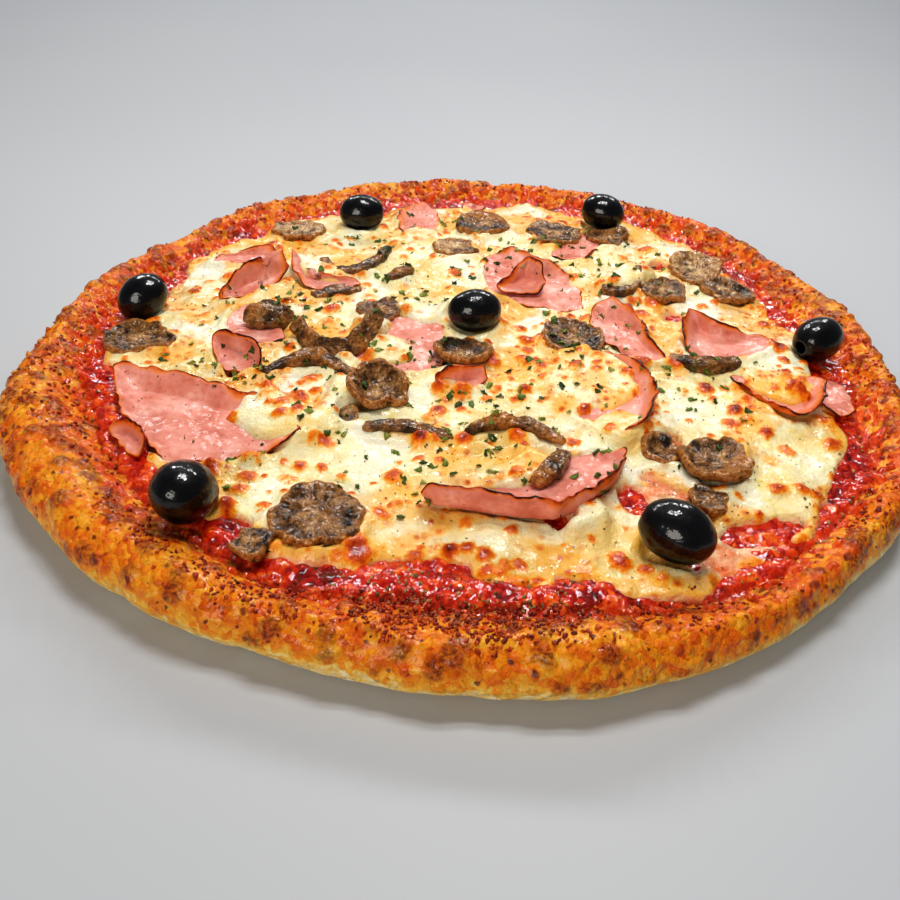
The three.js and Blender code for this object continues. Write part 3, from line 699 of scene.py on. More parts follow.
# Each large blister: its place and its radius in mm, and how toasted it is.
large = [
    (-27, -112, 4.6, 0.85), (-3, -110, 2.6, 0.95), (6, -112, 2.6, 0.8), (-61, -74, 3.6, 0.8),
    (-61, -84, 2.8, 0.75), (-62, -90, 2.5, 0.7), (-41, -68, 2.7, 0.8), (-47, -78, 2.3, 0.8),
    (-20, -81, 3.4, 0.75), (-13, -63, 3.0, 0.9), (0, -63, 2.7, 0.85), (-13, -73, 2.1, 0.7),
    (-7, -73, 2.1, 0.65), (-8, -48, 3.3, 0.85), (-1, -47, 1.9, 0.75), (-60, -44, 3.3, 0.7),
    (-1, -39, 4.0, 0.6), (-32, -94, 2.2, 0.7), (-35, -100, 1.9, 0.8), (16, -61, 3.0, 0.7),
    (18, -65, 1.8, 0.8), (33, -63, 2.4, 0.75), (20, -33, 2.6, 0.6), (38, -46, 2.5, 0.85),
    (43, -47, 2.2, 0.75), (39, -53, 1.6, 0.6), (80, -29, 3.3, 0.9), (13, -103, 1.9, 0.7),
    (15, -114, 2.3, 0.75), (41, -112, 3.4, 0.8), (47, -115, 2.3, 0.7), (112, 19, 3.0, 0.85),
    (111, -1, 3.9, 0.95), (111, -10, 2.4, 0.8), (119, -9, 2.1, 0.8), (72, -16, 3.4, 0.8),
    (87, -41, 2.9, 0.95), (94, -53, 2.8, 0.8), (110, -72, 2.1, 0.7), (90, -81, 2.6, 0.8),
    (97, -81, 2.6, 0.75), (101, -82, 2.0, 0.85), (-50, 16, 3.5, 0.8), (22, -1, 3.2, 0.85),
    (84, 104, 1.8, 0.8), (-50, 80, 2.6, 0.6), (-31, 77, 2.6, 0.6), (-4, 48, 2.4, 0.75),
    (-73, 87, 2.2, 0.6), (-56, 75, 2.1, 0.6), (28, -3, 2.5, 0.7), (52, -1, 1.8, 0.6),
]


def stamp(x, y, size, strength):
    """One blister: a lumpy dome on the cheese, toasted most at its top."""
    span = int(2.2 * size / pitch) + 2
    column, row = int((x + half) / pitch), int((y + half) / pitch)
    place = slice(row - span, row + span + 1), slice(column - span, column + span + 1)
    turn = np.arctan2(grid_y[place] - y, grid_x[place] - x)
    wobble = 1 + 0.12 * np.sin(2 * turn + x) + 0.08 * np.sin(5 * turn + y)
    far = np.hypot(grid_x[place] - x, grid_y[place] - y) / (size * wobble)
    cheese_height[place] += 0.42 * size * np.sqrt(np.clip(1 - far**2, 0, 1))
    toast[place] = np.maximum(toast[place], strength * np.exp(-((far / 1.02) ** 3)))
    scorched[place] = np.maximum(scorched[place], (strength - 0.7) * 2.2 * np.exp(-((far / 0.55) ** 2)))


patches = on_grid(noise, 34, 61)
for blister in large:
    stamp(*blister)
made = 0
while made < small_count:  # only where the cheese is thick
    x, y = rng.uniform(-blister_reach, blister_reach, 2)
    row, column = int((y + half) / pitch), int((x + half) / pitch)
    if body[row, column] > 0.5 and rng.random() < 0.15 + 1.1 * max(patches[row, column], 0):
        stamp(x, y, 1.1 + 2.2 * rng.random() ** 2.2, rng.uniform(0.35, 0.85))
        made += 1
print("cheese:", len(large) + small_count, "blisters")


# %% Close the cheese
def spread_from(seed, free):
    """The part of free that can be reached from the seed."""
    now = seed & free
    while True:
        grown = now.copy()
        for new, old in ((grown, now), (grown.T, now.T)):  # along both sides of the grid
            new[1:] |= old[:-1]
            new[:-1] |= old[1:]
        grown &= free
        if (grown == now).all():
            return now
        now = grown


cheese_height = np.maximum(cheese_height, sauce_height + 0.5)
dipped = sauce_height - 1.0
cheese_height = dipped + (cheese_height - dipped) * np.sqrt(body)
thinnest = 0.28  # the cover at which the cheese ends
cheese_wanted = blur((cover > thinnest) & (from_middle < 141), 1.5) > 0.4
# One sheet without holes or islands: what is reached from the middle, and all that it encloses.
cheese_wanted = ~spread_from(from_middle > 150, ~spread_from(from_middle < 20, cheese_wanted))


# %% Cheese material
# Melted mozzarella: milk fat and protein, so light sinks in and comes out soft and creamy. Toasting
# turns it gold, orange and then brown. Oil on top gives it small bright highlights.
def make_cheese_material():
    material, tree, place = new_material("melted_mozzarella")
    broad = add(tree, NOISE, place, Scale=per(20), Detail=3)
    mid = add(tree, NOISE, place, Scale=per(6), Detail=4, Roughness=0.6)
    fine = add(tree, NOISE, place, Scale=per(1.5), Detail=3, Roughness=0.6)
    names = ("golden", "thin", "toast", "scorched", "murky")
    golden, thin, toast, scorched, murky = (
        add(tree, VALUE, attribute_name=name, out="Fac") for name in names
    )
    base = add(tree, RAMP, broad, stops=[(0.33, "#FFF7DC"), (0.5, "#FDEEBC"), (0.64, "#F6D282")])
    base = add(tree, MIX, add(tree, PRODUCT, murky, mid), base, colour("#C4BE90"))
    oily = add(tree, RANGE, mid, 0.58, 0.72, 0.0, 0.75)
    base = add(tree, MIX, oily, base, colour("#FBDC50"))
    bubble = add(tree, CELLS, place, Scale=per(3.4))
    bubble_tone = add(tree, SPLIT, bubble.node.outputs["Color"])
    bubble_tone = add(tree, SCALED_SUM, bubble_tone, 0.55, bubble)
    speckle = add(tree, PRODUCT, add(tree, RANGE, bubble_tone, 0.7, 0.4), golden)
    golden = add(tree, RANGE, add(tree, SCALED_SUM, mid, 0.9, golden), 0.85, 1.35, 0.0, 0.7)
    base = add(tree, MIX, golden, base, colour("#FFB52E"))
    speck = add(tree, RAMP, bubble, stops=[(0.1, "#C85004"), (0.3, "#F08C14"), (0.45, "#FCB63C")])
    base = add(tree, MIX, speckle, base, speck)
    thin = add(tree, RANGE, add(tree, SCALED_SUM, mid, 0.5, thin), 0.5, 1.2)
    pink = add(tree, RAMP, mid, stops=[(0.35, "#FBC9A0"), (0.65, "#EE7A3C")])
    base = add(tree, MIX, thin, base, pink)
    heat = add(tree, MATH, add(tree, RANGE, fine, 0.3, 0.7, -0.14, 0.14), toast, operation="ADD")
    stops = [(0.2, "#FFC640"), (0.4, "#F99A18"), (0.6, "#E66A06"), (0.82, "#B83800"), (1.0, "#741C00")]
    brown = add(tree, RAMP, heat, stops=stops)
    base = add(tree, MIX, add(tree, RANGE, heat, 0.12, 0.42), base, brown)
    base = add(tree, MIX, add(tree, RANGE, scorched, 0.1, 0.9), base, colour("#4A170A"))
    bump = add(tree, BUMP, Height=mid, Distance=1.8 * MM, Strength=0.8)
    bump = add(tree, BUMP, Height=bubble, Distance=-0.5 * MM, Strength=0.5, Normal=bump)
    bump = add(tree, BUMP, Height=fine, Distance=0.3 * MM, Strength=0.7, Normal=bump)
    oil = add(tree, BUMP, Height=mid, Distance=0.7 * MM, Strength=0.5)
    oil = add(tree, BUMP, Height=fine, Distance=0.08 * MM, Strength=0.5, Normal=oil)
    shine = add(tree, RANGE, mid, 0.3, 0.7, 0.44, 0.24)
    finish = add(
        tree, FINISH, Base_Color=base, Roughness=shine, IOR=1.45, Normal=bump, Specular_IOR_Level=0.25,
        Coat_Weight=0.4, Coat_Roughness=0.06, Coat_Normal=oil,
        Subsurface_Weight=0.3, Subsurface_Scale=2 * MM, Subsurface_Radius=(1.0, 0.7, 0.35),
    )
    add(tree, OUTPUT, Surface=finish)
    return material


# %% Make the cheese
edge_near = step(0.97, 0.6, blur(lobes, 4.5))
gold = step(-0.25, 0.55, on_grid(noise, 24, 71) + 0.6 * on_grid(noise, 9, 72) + 1.0 * edge_near)
toast = np.maximum(toast, 0.5 * edge_near * step(0.0, 0.5, on_grid(noise, 9, 75)))
ham_near = blur(~np.isnan(drape(tree_of(*hams))), 2.5)
rim_gold = np.exp(-(((ham_near - 0.4) / 0.22) ** 2)) * step(-0.2, 0.4, on_grid(noise, 11, 73))
mushroom_near = blur(~np.isnan(drape(tree_of(*mushrooms))), 3.5)
murky = step(0.05, 0.6, mushroom_near) * step(-0.3, 0.4, on_grid(noise, 12, 74))
make_layer(
    "melted_cheese", cheese_height, cheese_wanted, floor_height - 1, make_cheese_material(),
    "cheese", "cheese", toast=toast, scorched=np.clip(scorched, 0, 1), thin=1 - step(0.15, 0.95, body),
    golden=np.clip(gold + 0.7 * rim_gold, 0, 1), murky=murky,
)

# %% [markdown]
# ## The ham
# Cooked ham is sliced about a millimetre and a half thick. In the oven a slice dries from its rim
# inwards: the rim shrinks, crimps, stands up and browns, and its very edge chars. So each slice is
# read from its solid as a sheet in polar form, round its own middle, and the crimps and ragged edge
# are added near the rim, where a distance from the edge is stored for the material.

# %% Read a slice from its solid
def read_sheet(name, around, rows, soften=1.1):
    """A slice's top as rings of points from near its middle out to its rim, and its middle."""
    tree = tree_of(name)
    low, high = corners_of(name).min(0), corners_of(name).max(0)
    x, y = np.meshgrid(np.arange(low[0], high[0], 1.0), np.arange(low[1], high[1], 1.0))
    hit = ~np.isnan(heights(tree, x, y))
    middle = np.array([x[hit].mean(), y[hit].mean()])
    angles = np.linspace(0, 2 * math.pi, around, endpoint=False)
    edge = []
    for a in angles.tolist():  # halves the way to the rim until it is found
        near, far = 0.0, float(np.hypot(*(high - low)[:2]))
        for _ in range(12):
            between = 0.5 * (near + far)
            place = (middle[0] + between * math.cos(a), middle[1] + between * math.sin(a), 60)
            if tree.ray_cast(place, DOWN)[0] is None:
                far = between
            else:
                near = between
        edge.append(near)
    share = np.linspace(0.04, 0.985, rows)[:, None]
    px = middle[0] + share * np.array(edge) * np.cos(angles)
    py = middle[1] + share * np.array(edge) * np.sin(angles)
    pz = heights(tree, px, py)
    top = float(heights(tree, middle[:1], middle[1:2])[0])
    pz = np.where(np.isnan(pz), top, pz)
    sheet = np.stack([px, py, pz], axis=-1)
    return round_blur(sheet.transpose(2, 0, 1), soften).transpose(1, 2, 0), np.array([*middle, top])


def length_to_rim(sheet):
    """The distance along the sheet from each point out to the rim."""
    steps = np.linalg.norm(np.diff(sheet, axis=0), axis=-1)
    return np.vstack([np.cumsum(steps[::-1], axis=0)[::-1], np.zeros((1, sheet.shape[1]))])


def outwards(sheet, middle):
    """Level directions away from the middle."""
    out = (sheet - middle) * [1, 1, 0]
    return out / np.maximum(np.linalg.norm(out, axis=-1, keepdims=True), 1e-6)


def close_sheet(sheet, middle, thickness, bulge=(0.45,)):
    """A closed slice: the sheet, side rings that bulge by shares of the thickness, and an underside."""
    around = sheet.shape[1]
    normal = grid_normals(sheet)
    normal *= np.sign(normal[..., 2].mean())
    below = sheet - thickness[..., None] * normal
    out = sheet[-1] - sheet[-2]
    out /= np.maximum(np.linalg.norm(out, axis=-1, keepdims=True), 1e-6)
    sides = []
    for number, share in enumerate(bulge):
        down = (number + 1) / (len(bulge) + 1)
        sides.append((1 - down) * sheet[-1] + down * below[-1] + share * thickness[-1][:, None] * out)
    stack = np.concatenate([sheet, np.array(sides), below[::-1]])
    points = np.vstack([stack.reshape(-1, 3), middle, middle - [0, 0, thickness[0].mean()]])
    return points, ring_faces(stack.shape[0], around)


def to_all_points(top, sides, centre):
    """Spreads values of a sheet's top over its side rings, its underside and its two middles."""
    rings = np.concatenate([top, np.repeat(top[-1:], sides, axis=0), top[::-1]])
    return np.append(rings.ravel(), [centre, centre])


# %% Ham material
# Cooked ham: cured pork, pale pink and moist, with faint fibres and fat. Its rim dries to orange,
# then brown, and its last half millimetre to near black.
def make_ham_material():
    material, tree, place = new_material("cooked_ham")
    broad = add(tree, NOISE, place, Scale=per(10), Detail=4, Roughness=0.6)
    fine = add(tree, NOISE, place, Scale=per(1.7), Detail=4, Roughness=0.6)
    stops = [(0.28, "#C4644A"), (0.43, "#E08A74"), (0.58, "#F0A492"), (0.75, "#FDD0C0")]
    base = add(tree, RAMP, broad, stops=stops)
    base = add(tree, MIX, add(tree, RANGE, fine, 0.5, 0.75, 0.0, 0.6), base, colour("#D8665A"))
    edge, char = (add(tree, VALUE, attribute_name=name, out="Fac") for name in ("edge", "char"))
    edge = add(tree, MATH, edge, char, operation="DIVIDE")
    edge = add(tree, MATH, add(tree, RANGE, broad, 0.3, 0.7, -0.6, 1.0), edge, operation="ADD")
    edge = add(tree, MATH, add(tree, RANGE, fine, 0.3, 0.7, -0.35, 0.35), edge, operation="ADD")
    stops = [(0.0, "#2C0800"), (0.04, "#701A04"), (0.12, "#B8440C"), (0.28, "#E47A30")]
    stops += [(0.6, "#F0925C"), (1.0, "#F09C84")]
    dried = add(tree, RAMP, add(tree, RANGE, edge, 0.0, 4.5), stops=stops)
    base = add(tree, MIX, add(tree, RANGE, edge, 4.5, 1.8), base, dried)
    bump = add(tree, BUMP, Height=broad, Distance=0.7 * MM, Strength=0.45)
    bump = add(tree, BUMP, Height=fine, Distance=0.3 * MM, Strength=0.5, Normal=bump)
    juice = add(tree, BUMP, Height=broad, Distance=0.5 * MM, Strength=0.5)
    shine = add(tree, RANGE, fine, 0.3, 0.7, 0.46, 0.28)
    finish = add(
        tree, FINISH, Base_Color=base, Roughness=shine, IOR=1.42, Normal=bump, Specular_IOR_Level=0.2,
        Coat_Weight=0.2, Coat_Roughness=0.1, Coat_Normal=juice,
        Subsurface_Weight=0.2, Subsurface_Scale=2 * MM, Subsurface_Radius=(1.0, 0.35, 0.2),
    )
    add(tree, OUTPUT, Surface=finish)
    return material


# %% Make the slices
def topping_level(points):
    """The cheese's level at some points."""
    column, row = (((points[:, k] + half) / pitch).round().astype(int) for k in (0, 1))
    return level[row, column]


ham_material = make_ham_material()
ham_thickness = 1.35
toppings = []  # all pieces that herbs can fall on
for number, name in enumerate(hams):
    size = (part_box(name)[1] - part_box(name)[0]) / MM
    around = int(np.clip(3.2 * (size.x + size.y), 96, 330))
    rows = int(np.clip(0.7 * max(size.x, size.y), 16, 44))
    sheet, middle = read_sheet(name, around, rows)
    to_rim = length_to_rim(sheet)
    spots = sheet.reshape(-1, 3)
    crimp, fold, fine, torn, bitten = (
        noise(spots, wide, seed + number).reshape(to_rim.shape)
        for wide, seed in ((5.0, 80), (14, 180), (2.2, 7), (2.6, 280), (7.0, 380))
    )
    near = np.exp(-to_rim / 3.0)
    sheet[..., 2] += 1.3 * near * crimp + 0.4 * fold + 0.1 * fine
    sheet += (near * (0.8 * torn + 0.9 * bitten))[..., None] * outwards(sheet, middle)
    thickness = ham_thickness * (0.4 + 0.6 * step(0.0, 2.5, to_rim))
    points, faces = close_sheet(sheet, middle, thickness)
    standing = round_blur(step(1.2, 4.5, sheet[-1, :, 2] - topping_level(sheet[-1])), 2)
    charring = to_all_points(np.tile(0.12 + standing, (rows, 1)), 1, 1.0)
    charring = charring * (0.25 + 0.95 * step(-0.35, 0.5, noise(points, 14, 480 + number)))
    edge = to_all_points(to_rim, 1, to_rim.max())
    piece = name + "_slice", points, faces, ham_material, "ham", name
    toppings.append(make_piece(*piece, edge=edge, char=charring))
print("ham:", len(hams), "slices")

# %% [markdown]
# ## The mushrooms
# Champignon slices lose most of their water in the oven. They shrink, wrinkle and turn brown,
# darkest at the gills, and a brown skin goes round the cap's side. A slice that lies flat is read
# from its solid in polar form, as the ham is, because its gills run out from its middle. A slice
# that stands on edge is remeshed into small even faces instead, rounded, and then wrinkled.

# %% Mushroom material
# Baked champignon: spongy brown flesh, wet and grainy, near-black gills, and a tan skin that shines.
def make_mushroom_material():
    material, tree, place = new_material("baked_champignon")
    broad = add(tree, NOISE, place, Scale=per(6), Detail=4, Roughness=0.6)
    fine = add(tree, NOISE, place, Scale=per(1.3), Detail=4, Roughness=0.65)
    cell = add(tree, CELLS, place, Scale=per(1.2))
    names = ("tone", "skin", "gill")
    tone, skin, gill = (add(tree, VALUE, attribute_name=name, out="Fac") for name in names)
    mixed = add(tree, SCALED_SUM, broad, 0.6, tone)
    mixed = add(tree, SCALED_SUM, fine, 0.9, mixed)
    stops = [(0.0, "#241206"), (0.22, "#5E3C1A"), (0.46, "#A2703E"), (0.7, "#CEA068"), (1.0, "#F0CE9C")]
    base = add(tree, RAMP, add(tree, RANGE, mixed, 0.5, 1.55), stops=stops)
    rind = add(tree, RAMP, fine, stops=[(0.3, "#744014"), (0.5, "#B07030"), (0.7, "#DCA05C")])
    base = add(tree, MIX, skin, base, rind)
    dark = add(tree, RAMP, fine, stops=[(0.35, "#120C08"), (0.65, "#3B2817")])
    base = add(tree, MIX, gill, base, dark)
    bump = add(tree, BUMP, Height=cell, Distance=-0.8 * MM, Strength=1.0)
    bump = add(tree, BUMP, Height=fine, Distance=0.6 * MM, Strength=1.0, Normal=bump)
    juice = add(tree, BUMP, Height=fine, Distance=0.15 * MM, Strength=0.6)
    shine = add(tree, RANGE, fine, 0.3, 0.7, 0.4, 0.2)
    finish = add(
        tree, FINISH, Base_Color=base, Roughness=shine, IOR=1.42, Normal=bump, Specular_IOR_Level=0.15,
        Coat_Weight=0.55, Coat_Roughness=0.05, Coat_Normal=juice,
        Subsurface_Weight=0.06, Subsurface_Scale=1 * MM, Subsurface_Radius=(1.0, 0.5, 0.3),
    )
    add(tree, OUTPUT, Surface=finish)
    return material


mushroom_material = make_mushroom_material()
standing = (
    "boat", "boat_cap", "back_left", "back_left_bit", "left_bits", "dark_wave", "buried_edge",
    "buried_curl", "buried_tip", "back_hook", "right_edge",
)
on_edge = {"mushroom_" + word for word in standing}

# %% Flat slices
mushroom_thickness = 3.2
settling = 0.5  # how far the slices sink into the melted cheese
# The side on which a slice shows its smooth cap, in degrees.
bare_caps = {"mushroom_front_right": -50, "mushroom_back_cap": 75}
flat_slices = [n for n in mushrooms if n not in on_edge]
for number, name in enumerate(flat_slices):
    size = (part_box(name)[1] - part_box(name)[0]) / MM
    around = int(np.clip(5.5 * (size.x + size.y), 110, 260))
    rows = int(np.clip(0.9 * max(size.x, size.y), 12, 26))
    sheet, middle = read_sheet(name, around, rows, soften=0.022 * around)
    to_rim = length_to_rim(sheet)
    spots = sheet.reshape(-1, 3)
    turn = np.linspace(0, 2 * math.pi, around, endpoint=False)
    # Gills run outwards, so their noise changes fast with the turn and slowly with the distance.
    round_it = np.broadcast_to(turn, to_rim.shape)
    fins = np.stack([12 * np.cos(round_it), 12 * np.sin(round_it), to_rim / 6], axis=-1)
    streaks = noise(fins.reshape(-1, 3), 1.0, 600 + number).reshape(to_rim.shape)
    waves, ripples, torn = (
        noise(spots, wide, seed + number).reshape(to_rim.shape)
        for wide, seed in ((6.0, 500), (2.6, 540), (3.5, 580))
    )
    reach = to_rim[0].mean()
    band = np.exp(-(((to_rim - 0.36 * reach) / (0.17 * reach)) ** 2))  # where the gills are
    lip = np.exp(-(((to_rim - 0.7) / 0.8) ** 2))
    lump, lump_tone = (made.reshape(to_rim.shape) for made in grains(spots, 2.4, 640 + number))
    cap = np.zeros(to_rim.shape)
    if name in bare_caps:
        side = turn - math.radians(bare_caps[name])
        cap = step(0.1, 0.45, np.cos(side) * (1 - to_rim / reach))
        sheet[..., 2] += 1.2 * cap * np.sqrt(step(0.0, 5.0, to_rim))
    relief = (1 - 0.8 * cap) * (0.5 * ripples - band * (0.1 + 0.3 * streaks))
    sheet[..., 2] += 0.15 * lip - settling + 0.8 * waves + relief
    sheet[..., 2] += 0.7 * (1 - cap) * (lump - 0.5) * lump_tone * step(0.5, 2, to_rim)
    sheet += (np.exp(-to_rim / 4) * (1.3 * torn + 0.8 * waves))[..., None] * outwards(sheet, middle)
    thickness = mushroom_thickness * (0.75 + 0.25 * step(0, 2, to_rim))
    bulge = (0.16, 0.24, 0.16)
    points, faces = close_sheet(sheet, middle, thickness, bulge)
    pale = 0.28 if "pale" in name else 0.0
    stem = np.exp(-((to_rim / (0.25 * reach) - 4) ** 2))  # paler in the middle
    tone = 0.1 + pale + 0.3 * stem + 0.2 * waves + 0.35 * (lump_tone - 0.5)
    skin = np.maximum(step(1.0, 0.2, to_rim), cap)
    dark = step(0.05, 0.6, noise(spots, 8, 560 + number)).reshape(band.shape)
    gill = band * (0.1 + 0.8 * streaks + 1.0 * dark) + 0.9 * dark * step(-0.2, 0.4, ripples)
    gill = np.clip(gill, 0, 1) * (1 - cap) * (1 - 0.8 * pale)
    tone, skin, gill = (
        to_all_points(field, len(bulge), centre) for field, centre in ((tone, 0.2), (skin, 0), (gill, 0))
    )
    piece = name + "_slice", points, faces, mushroom_material, "mushroom", name
    toppings.append(make_piece(*piece, tone=tone, skin=skin, gill=gill))
print("mushrooms:", len(flat_slices), "flat slices")


# %% Slices on edge
def remeshed(name, voxel, smoothing):
    """A copy of a solid, rebuilt with even faces and rounded: its points, normals and faces."""
    faces = [list(f.vertices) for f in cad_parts[name].data.polygons]
    data = new_mesh(name + "_rough", corners_of(name), faces)
    rough = in_scene(name + "_rough", data)
    rough.modifiers.new("weld", "WELD").merge_threshold = 0.01 * MM
    remesh = rough.modifiers.new("remesh", "REMESH")
    remesh.mode = "VOXEL"
    remesh.voxel_size = voxel * MM
    smooth = rough.modifiers.new("smooth", "SMOOTH")
    smooth.factor, smooth.iterations = 0.5, smoothing
    made = bpy.data.meshes.new_from_object(rough.evaluated_get(bpy.context.evaluated_depsgraph_get()))
    bpy.data.objects.remove(rough)
    bpy.data.meshes.remove(data)
    points, normals = np.zeros(len(made.vertices) * 3), np.zeros(len(made.vertices) * 3)
    made.vertices.foreach_get("co", points)
    made.vertices.foreach_get("normal", normals)
    faces = [list(f.vertices) for f in made.polygons]
    bpy.data.meshes.remove(made)
    return points.reshape(-1, 3) / MM, normals.reshape(-1, 3), faces


for number, name in enumerate(sorted(on_edge)):
    points, normals, faces = remeshed(name, 0.5, 6)
    lump, lump_tone = grains(points, 2.2, 900 + number)
    push = 0.7 * noise(points, 6, 700 + number) + 0.4 * noise(points, 2.6, 740 + number) + 0.35 * lump
    points = points + normals * push[:, None]
    gill = step(-0.1, 0.6, noise(points, 6, 780 + number)) * 0.9
    skin = step(0.0, 0.5, noise(points, 9, 820 + number))
    tone = 0.02 + 0.2 * lump_tone
    piece = name + "_piece", points, faces, mushroom_material, "mushroom", name
    toppings.append(make_piece(*piece, tone=tone, skin=skin, gill=gill))
print("mushrooms:", len(on_edge), "on edge")

# %% [markdown]
# ## The olives
# Whole black olives: firm, oiled and nearly mirror-smooth, with one small dimple, or a round hole
# where the stone was punched out. Each is turned on a lathe around its own long axis and dented a
# little. Its place is the solid's, and its aim says which way the stalk end or hole points.

# %% Olive material
# Black olive: a deep blue-black waxy skin under a film of oil. The oil is a clear coat.
def make_olive_material():
    material, tree, place = new_material("oiled_black_olive")
    broad = add(tree, NOISE, place, Scale=per(9), Detail=2)
    fine = add(tree, NOISE, place, Scale=per(0.9), Detail=2)
    base = add(tree, RAMP, broad, stops=[(0.3, "#020203"), (0.6, "#060609"), (0.8, "#120B0D")])
    wrinkle = add(tree, NOISE, place, Scale=per(3), Detail=2)
    bump = add(tree, BUMP, Height=broad, Distance=0.8 * MM, Strength=0.4)
    bump = add(tree, BUMP, Height=wrinkle, Distance=0.5 * MM, Strength=0.5, Normal=bump)
    bump = add(tree, BUMP, Height=fine, Distance=0.08 * MM, Strength=0.7, Normal=bump)
    shine = add(tree, RANGE, broad, 0.3, 0.7, 0.3, 0.4)
    finish = add(
        tree, FINISH, Base_Color=base, Roughness=shine, IOR=1.45, Normal=bump, Specular_IOR_Level=0.15,
        Coat_Weight=0.8, Coat_Roughness=0.06, Coat_Normal=bump,
    )
    add(tree, OUTPUT, Surface=finish)
    return material


# %% Make the olives
# The way each olive's stalk end or hole points: its turn about Z and its rise, in degrees.
aims = {
    "olive_back_left": (5, 0), "olive_back_right": (170, 10), "olive_left": (30, 30),
    "olive_centre": (12, 0), "olive_right": (214, -4), "olive_front_left": (85, -35),
    "olive_front_right": (155, 12),
}
pitted = {"olive_left", "olive_right"}
olive_length, olive_width, hole_width = 19.5, 15.4, 4.6
dimple_depth, dimple_width = 0.9, 1.5
tip = 0.02  # what is left open at an end before it is closed, in radians
olive_scales = {"olive_front_left": 1.13, "olive_front_right": 1.05}
olive_material = make_olive_material()
spin = np.linspace(0, 2 * math.pi, 80, endpoint=False)
for number, name in enumerate(olives):
    low, high = corners_of(name).min(0), corners_of(name).max(0)
    turn, rise = (math.radians(v) for v in aims[name])
    scale = olive_scales.get(name, 1.0)
    long_half, round_half = 0.5 * olive_length * scale, 0.5 * olive_width * scale
    tall = math.hypot(long_half * math.sin(rise), round_half * math.cos(rise))
    centre = np.array([*(0.5 * (low + high))[:2], low[2] + tall])
    first = math.asin(0.5 * hole_width / round_half) if name in pitted else tip
    slopes = np.linspace(first, math.pi - tip, 50)
    profile = [(round_half * math.sin(s), long_half * math.cos(s)) for s in slopes]
    if name in pitted:
        lip, mouth = 0.5 * hole_width, profile[0][1]
        hole = [(0.75 * lip, 0.3 * long_half), (0.9 * lip, 0.5 * long_half), (lip, mouth - 0.8)]
        profile = hole + profile
    profile = np.array(profile)
    ring = np.stack([np.cos(spin), np.sin(spin), 0 * spin], axis=-1)
    skin = profile[:, :1, None] * ring + profile[:, 1][:, None, None] * np.array([0, 0, 1])
    skin = skin.reshape(-1, 3)
    own_place = skin + 50 * number  # no two olives are dented alike
    dents = 0.2 * noise(own_place, 9, 900) + 0.05 * noise(own_place, 3, 901)
    skin *= 1 + dents[:, None] / round_half
    if name not in pitted:
        from_tip = np.linalg.norm(skin - [0, 0, long_half], axis=1)
        skin[:, 2] -= dimple_depth * np.exp(-((from_tip / dimple_width) ** 2))
    ends = [[0, 0, profile[0, 1] - (0 if name in pitted else 0.8)], [0, 0, profile[-1, 1]]]
    aim = Vector((math.cos(turn) * math.cos(rise), math.sin(turn) * math.cos(rise), math.sin(rise)))
    facing = np.array(aim.to_track_quat("Z", "Y").to_matrix())
    points = np.vstack([skin, ends]) @ facing.T + centre
    faces = ring_faces(len(profile), len(spin))
    toppings.append(make_piece(name + "_fruit", points, faces, olive_material, "olive", name))
print("olives:", len(olives))

# %% [markdown]
# ## What fell on top
# Dried herbs, dark flecks and toasted grains lie on whatever is highest at their place. So one sheet
# is draped over everything made so far, and Geometry Nodes scatter small shapes on it. A tree takes
# the number per square metre and the sizes as named inputs, and an attribute on the sheet says where
# the things lie close together. The sheet itself isn't kept.

# %% Drape a sheet over everything
top = np.maximum(dough, np.where(sauce_wanted, sauce_height, 0))
top = np.maximum(top, np.where(cheese_wanted, cheese_height, 0))
for piece in toppings:
    tree = BVHTree.FromObject(piece, bpy.context.evaluated_depsgraph_get())
    box = np.array([c[:] for c in piece.bound_box]) / MM
    low, high = box.min(0), box.max(0)
    near = (grid_x > low[0]) & (grid_x < high[0]) & (grid_y > low[1]) & (grid_y < high[1])
    found = heights(tree, grid_x[near] * MM, grid_y[near] * MM, 60 * MM) / MM
    top[near] = np.fmax(top[near], found)
smooth_top = blur(top, 0.5)
olive_top = drape(tree_of(*olives))
clear = 1 - step(0.02, 0.2, blur(~np.isnan(olive_top), 1.5))
clear *= blur(dough > 7, 1.5) > 0.97  # nothing lies on the steep outer side
print("highest point:", round(float(top.max()), 1), "mm")


def draped_sheet(share):
    """The draped sheet, with the share of the full number that lies at each point."""
    kept = share > 0.01
    points, faces, used = sheet_mesh(smooth_top + 0.15, kept | (blur(kept, 1) > 0.05), 0)
    top_faces = [f for f in faces if max(f) < len(used)]
    return in_scene("drape", new_mesh("drape", points[: len(used)], top_faces, share=share.ravel()[used]))


# %% A tree that scatters small shapes
RANDOM = "FunctionNodeRandomValue", {"data_type": "FLOAT"}


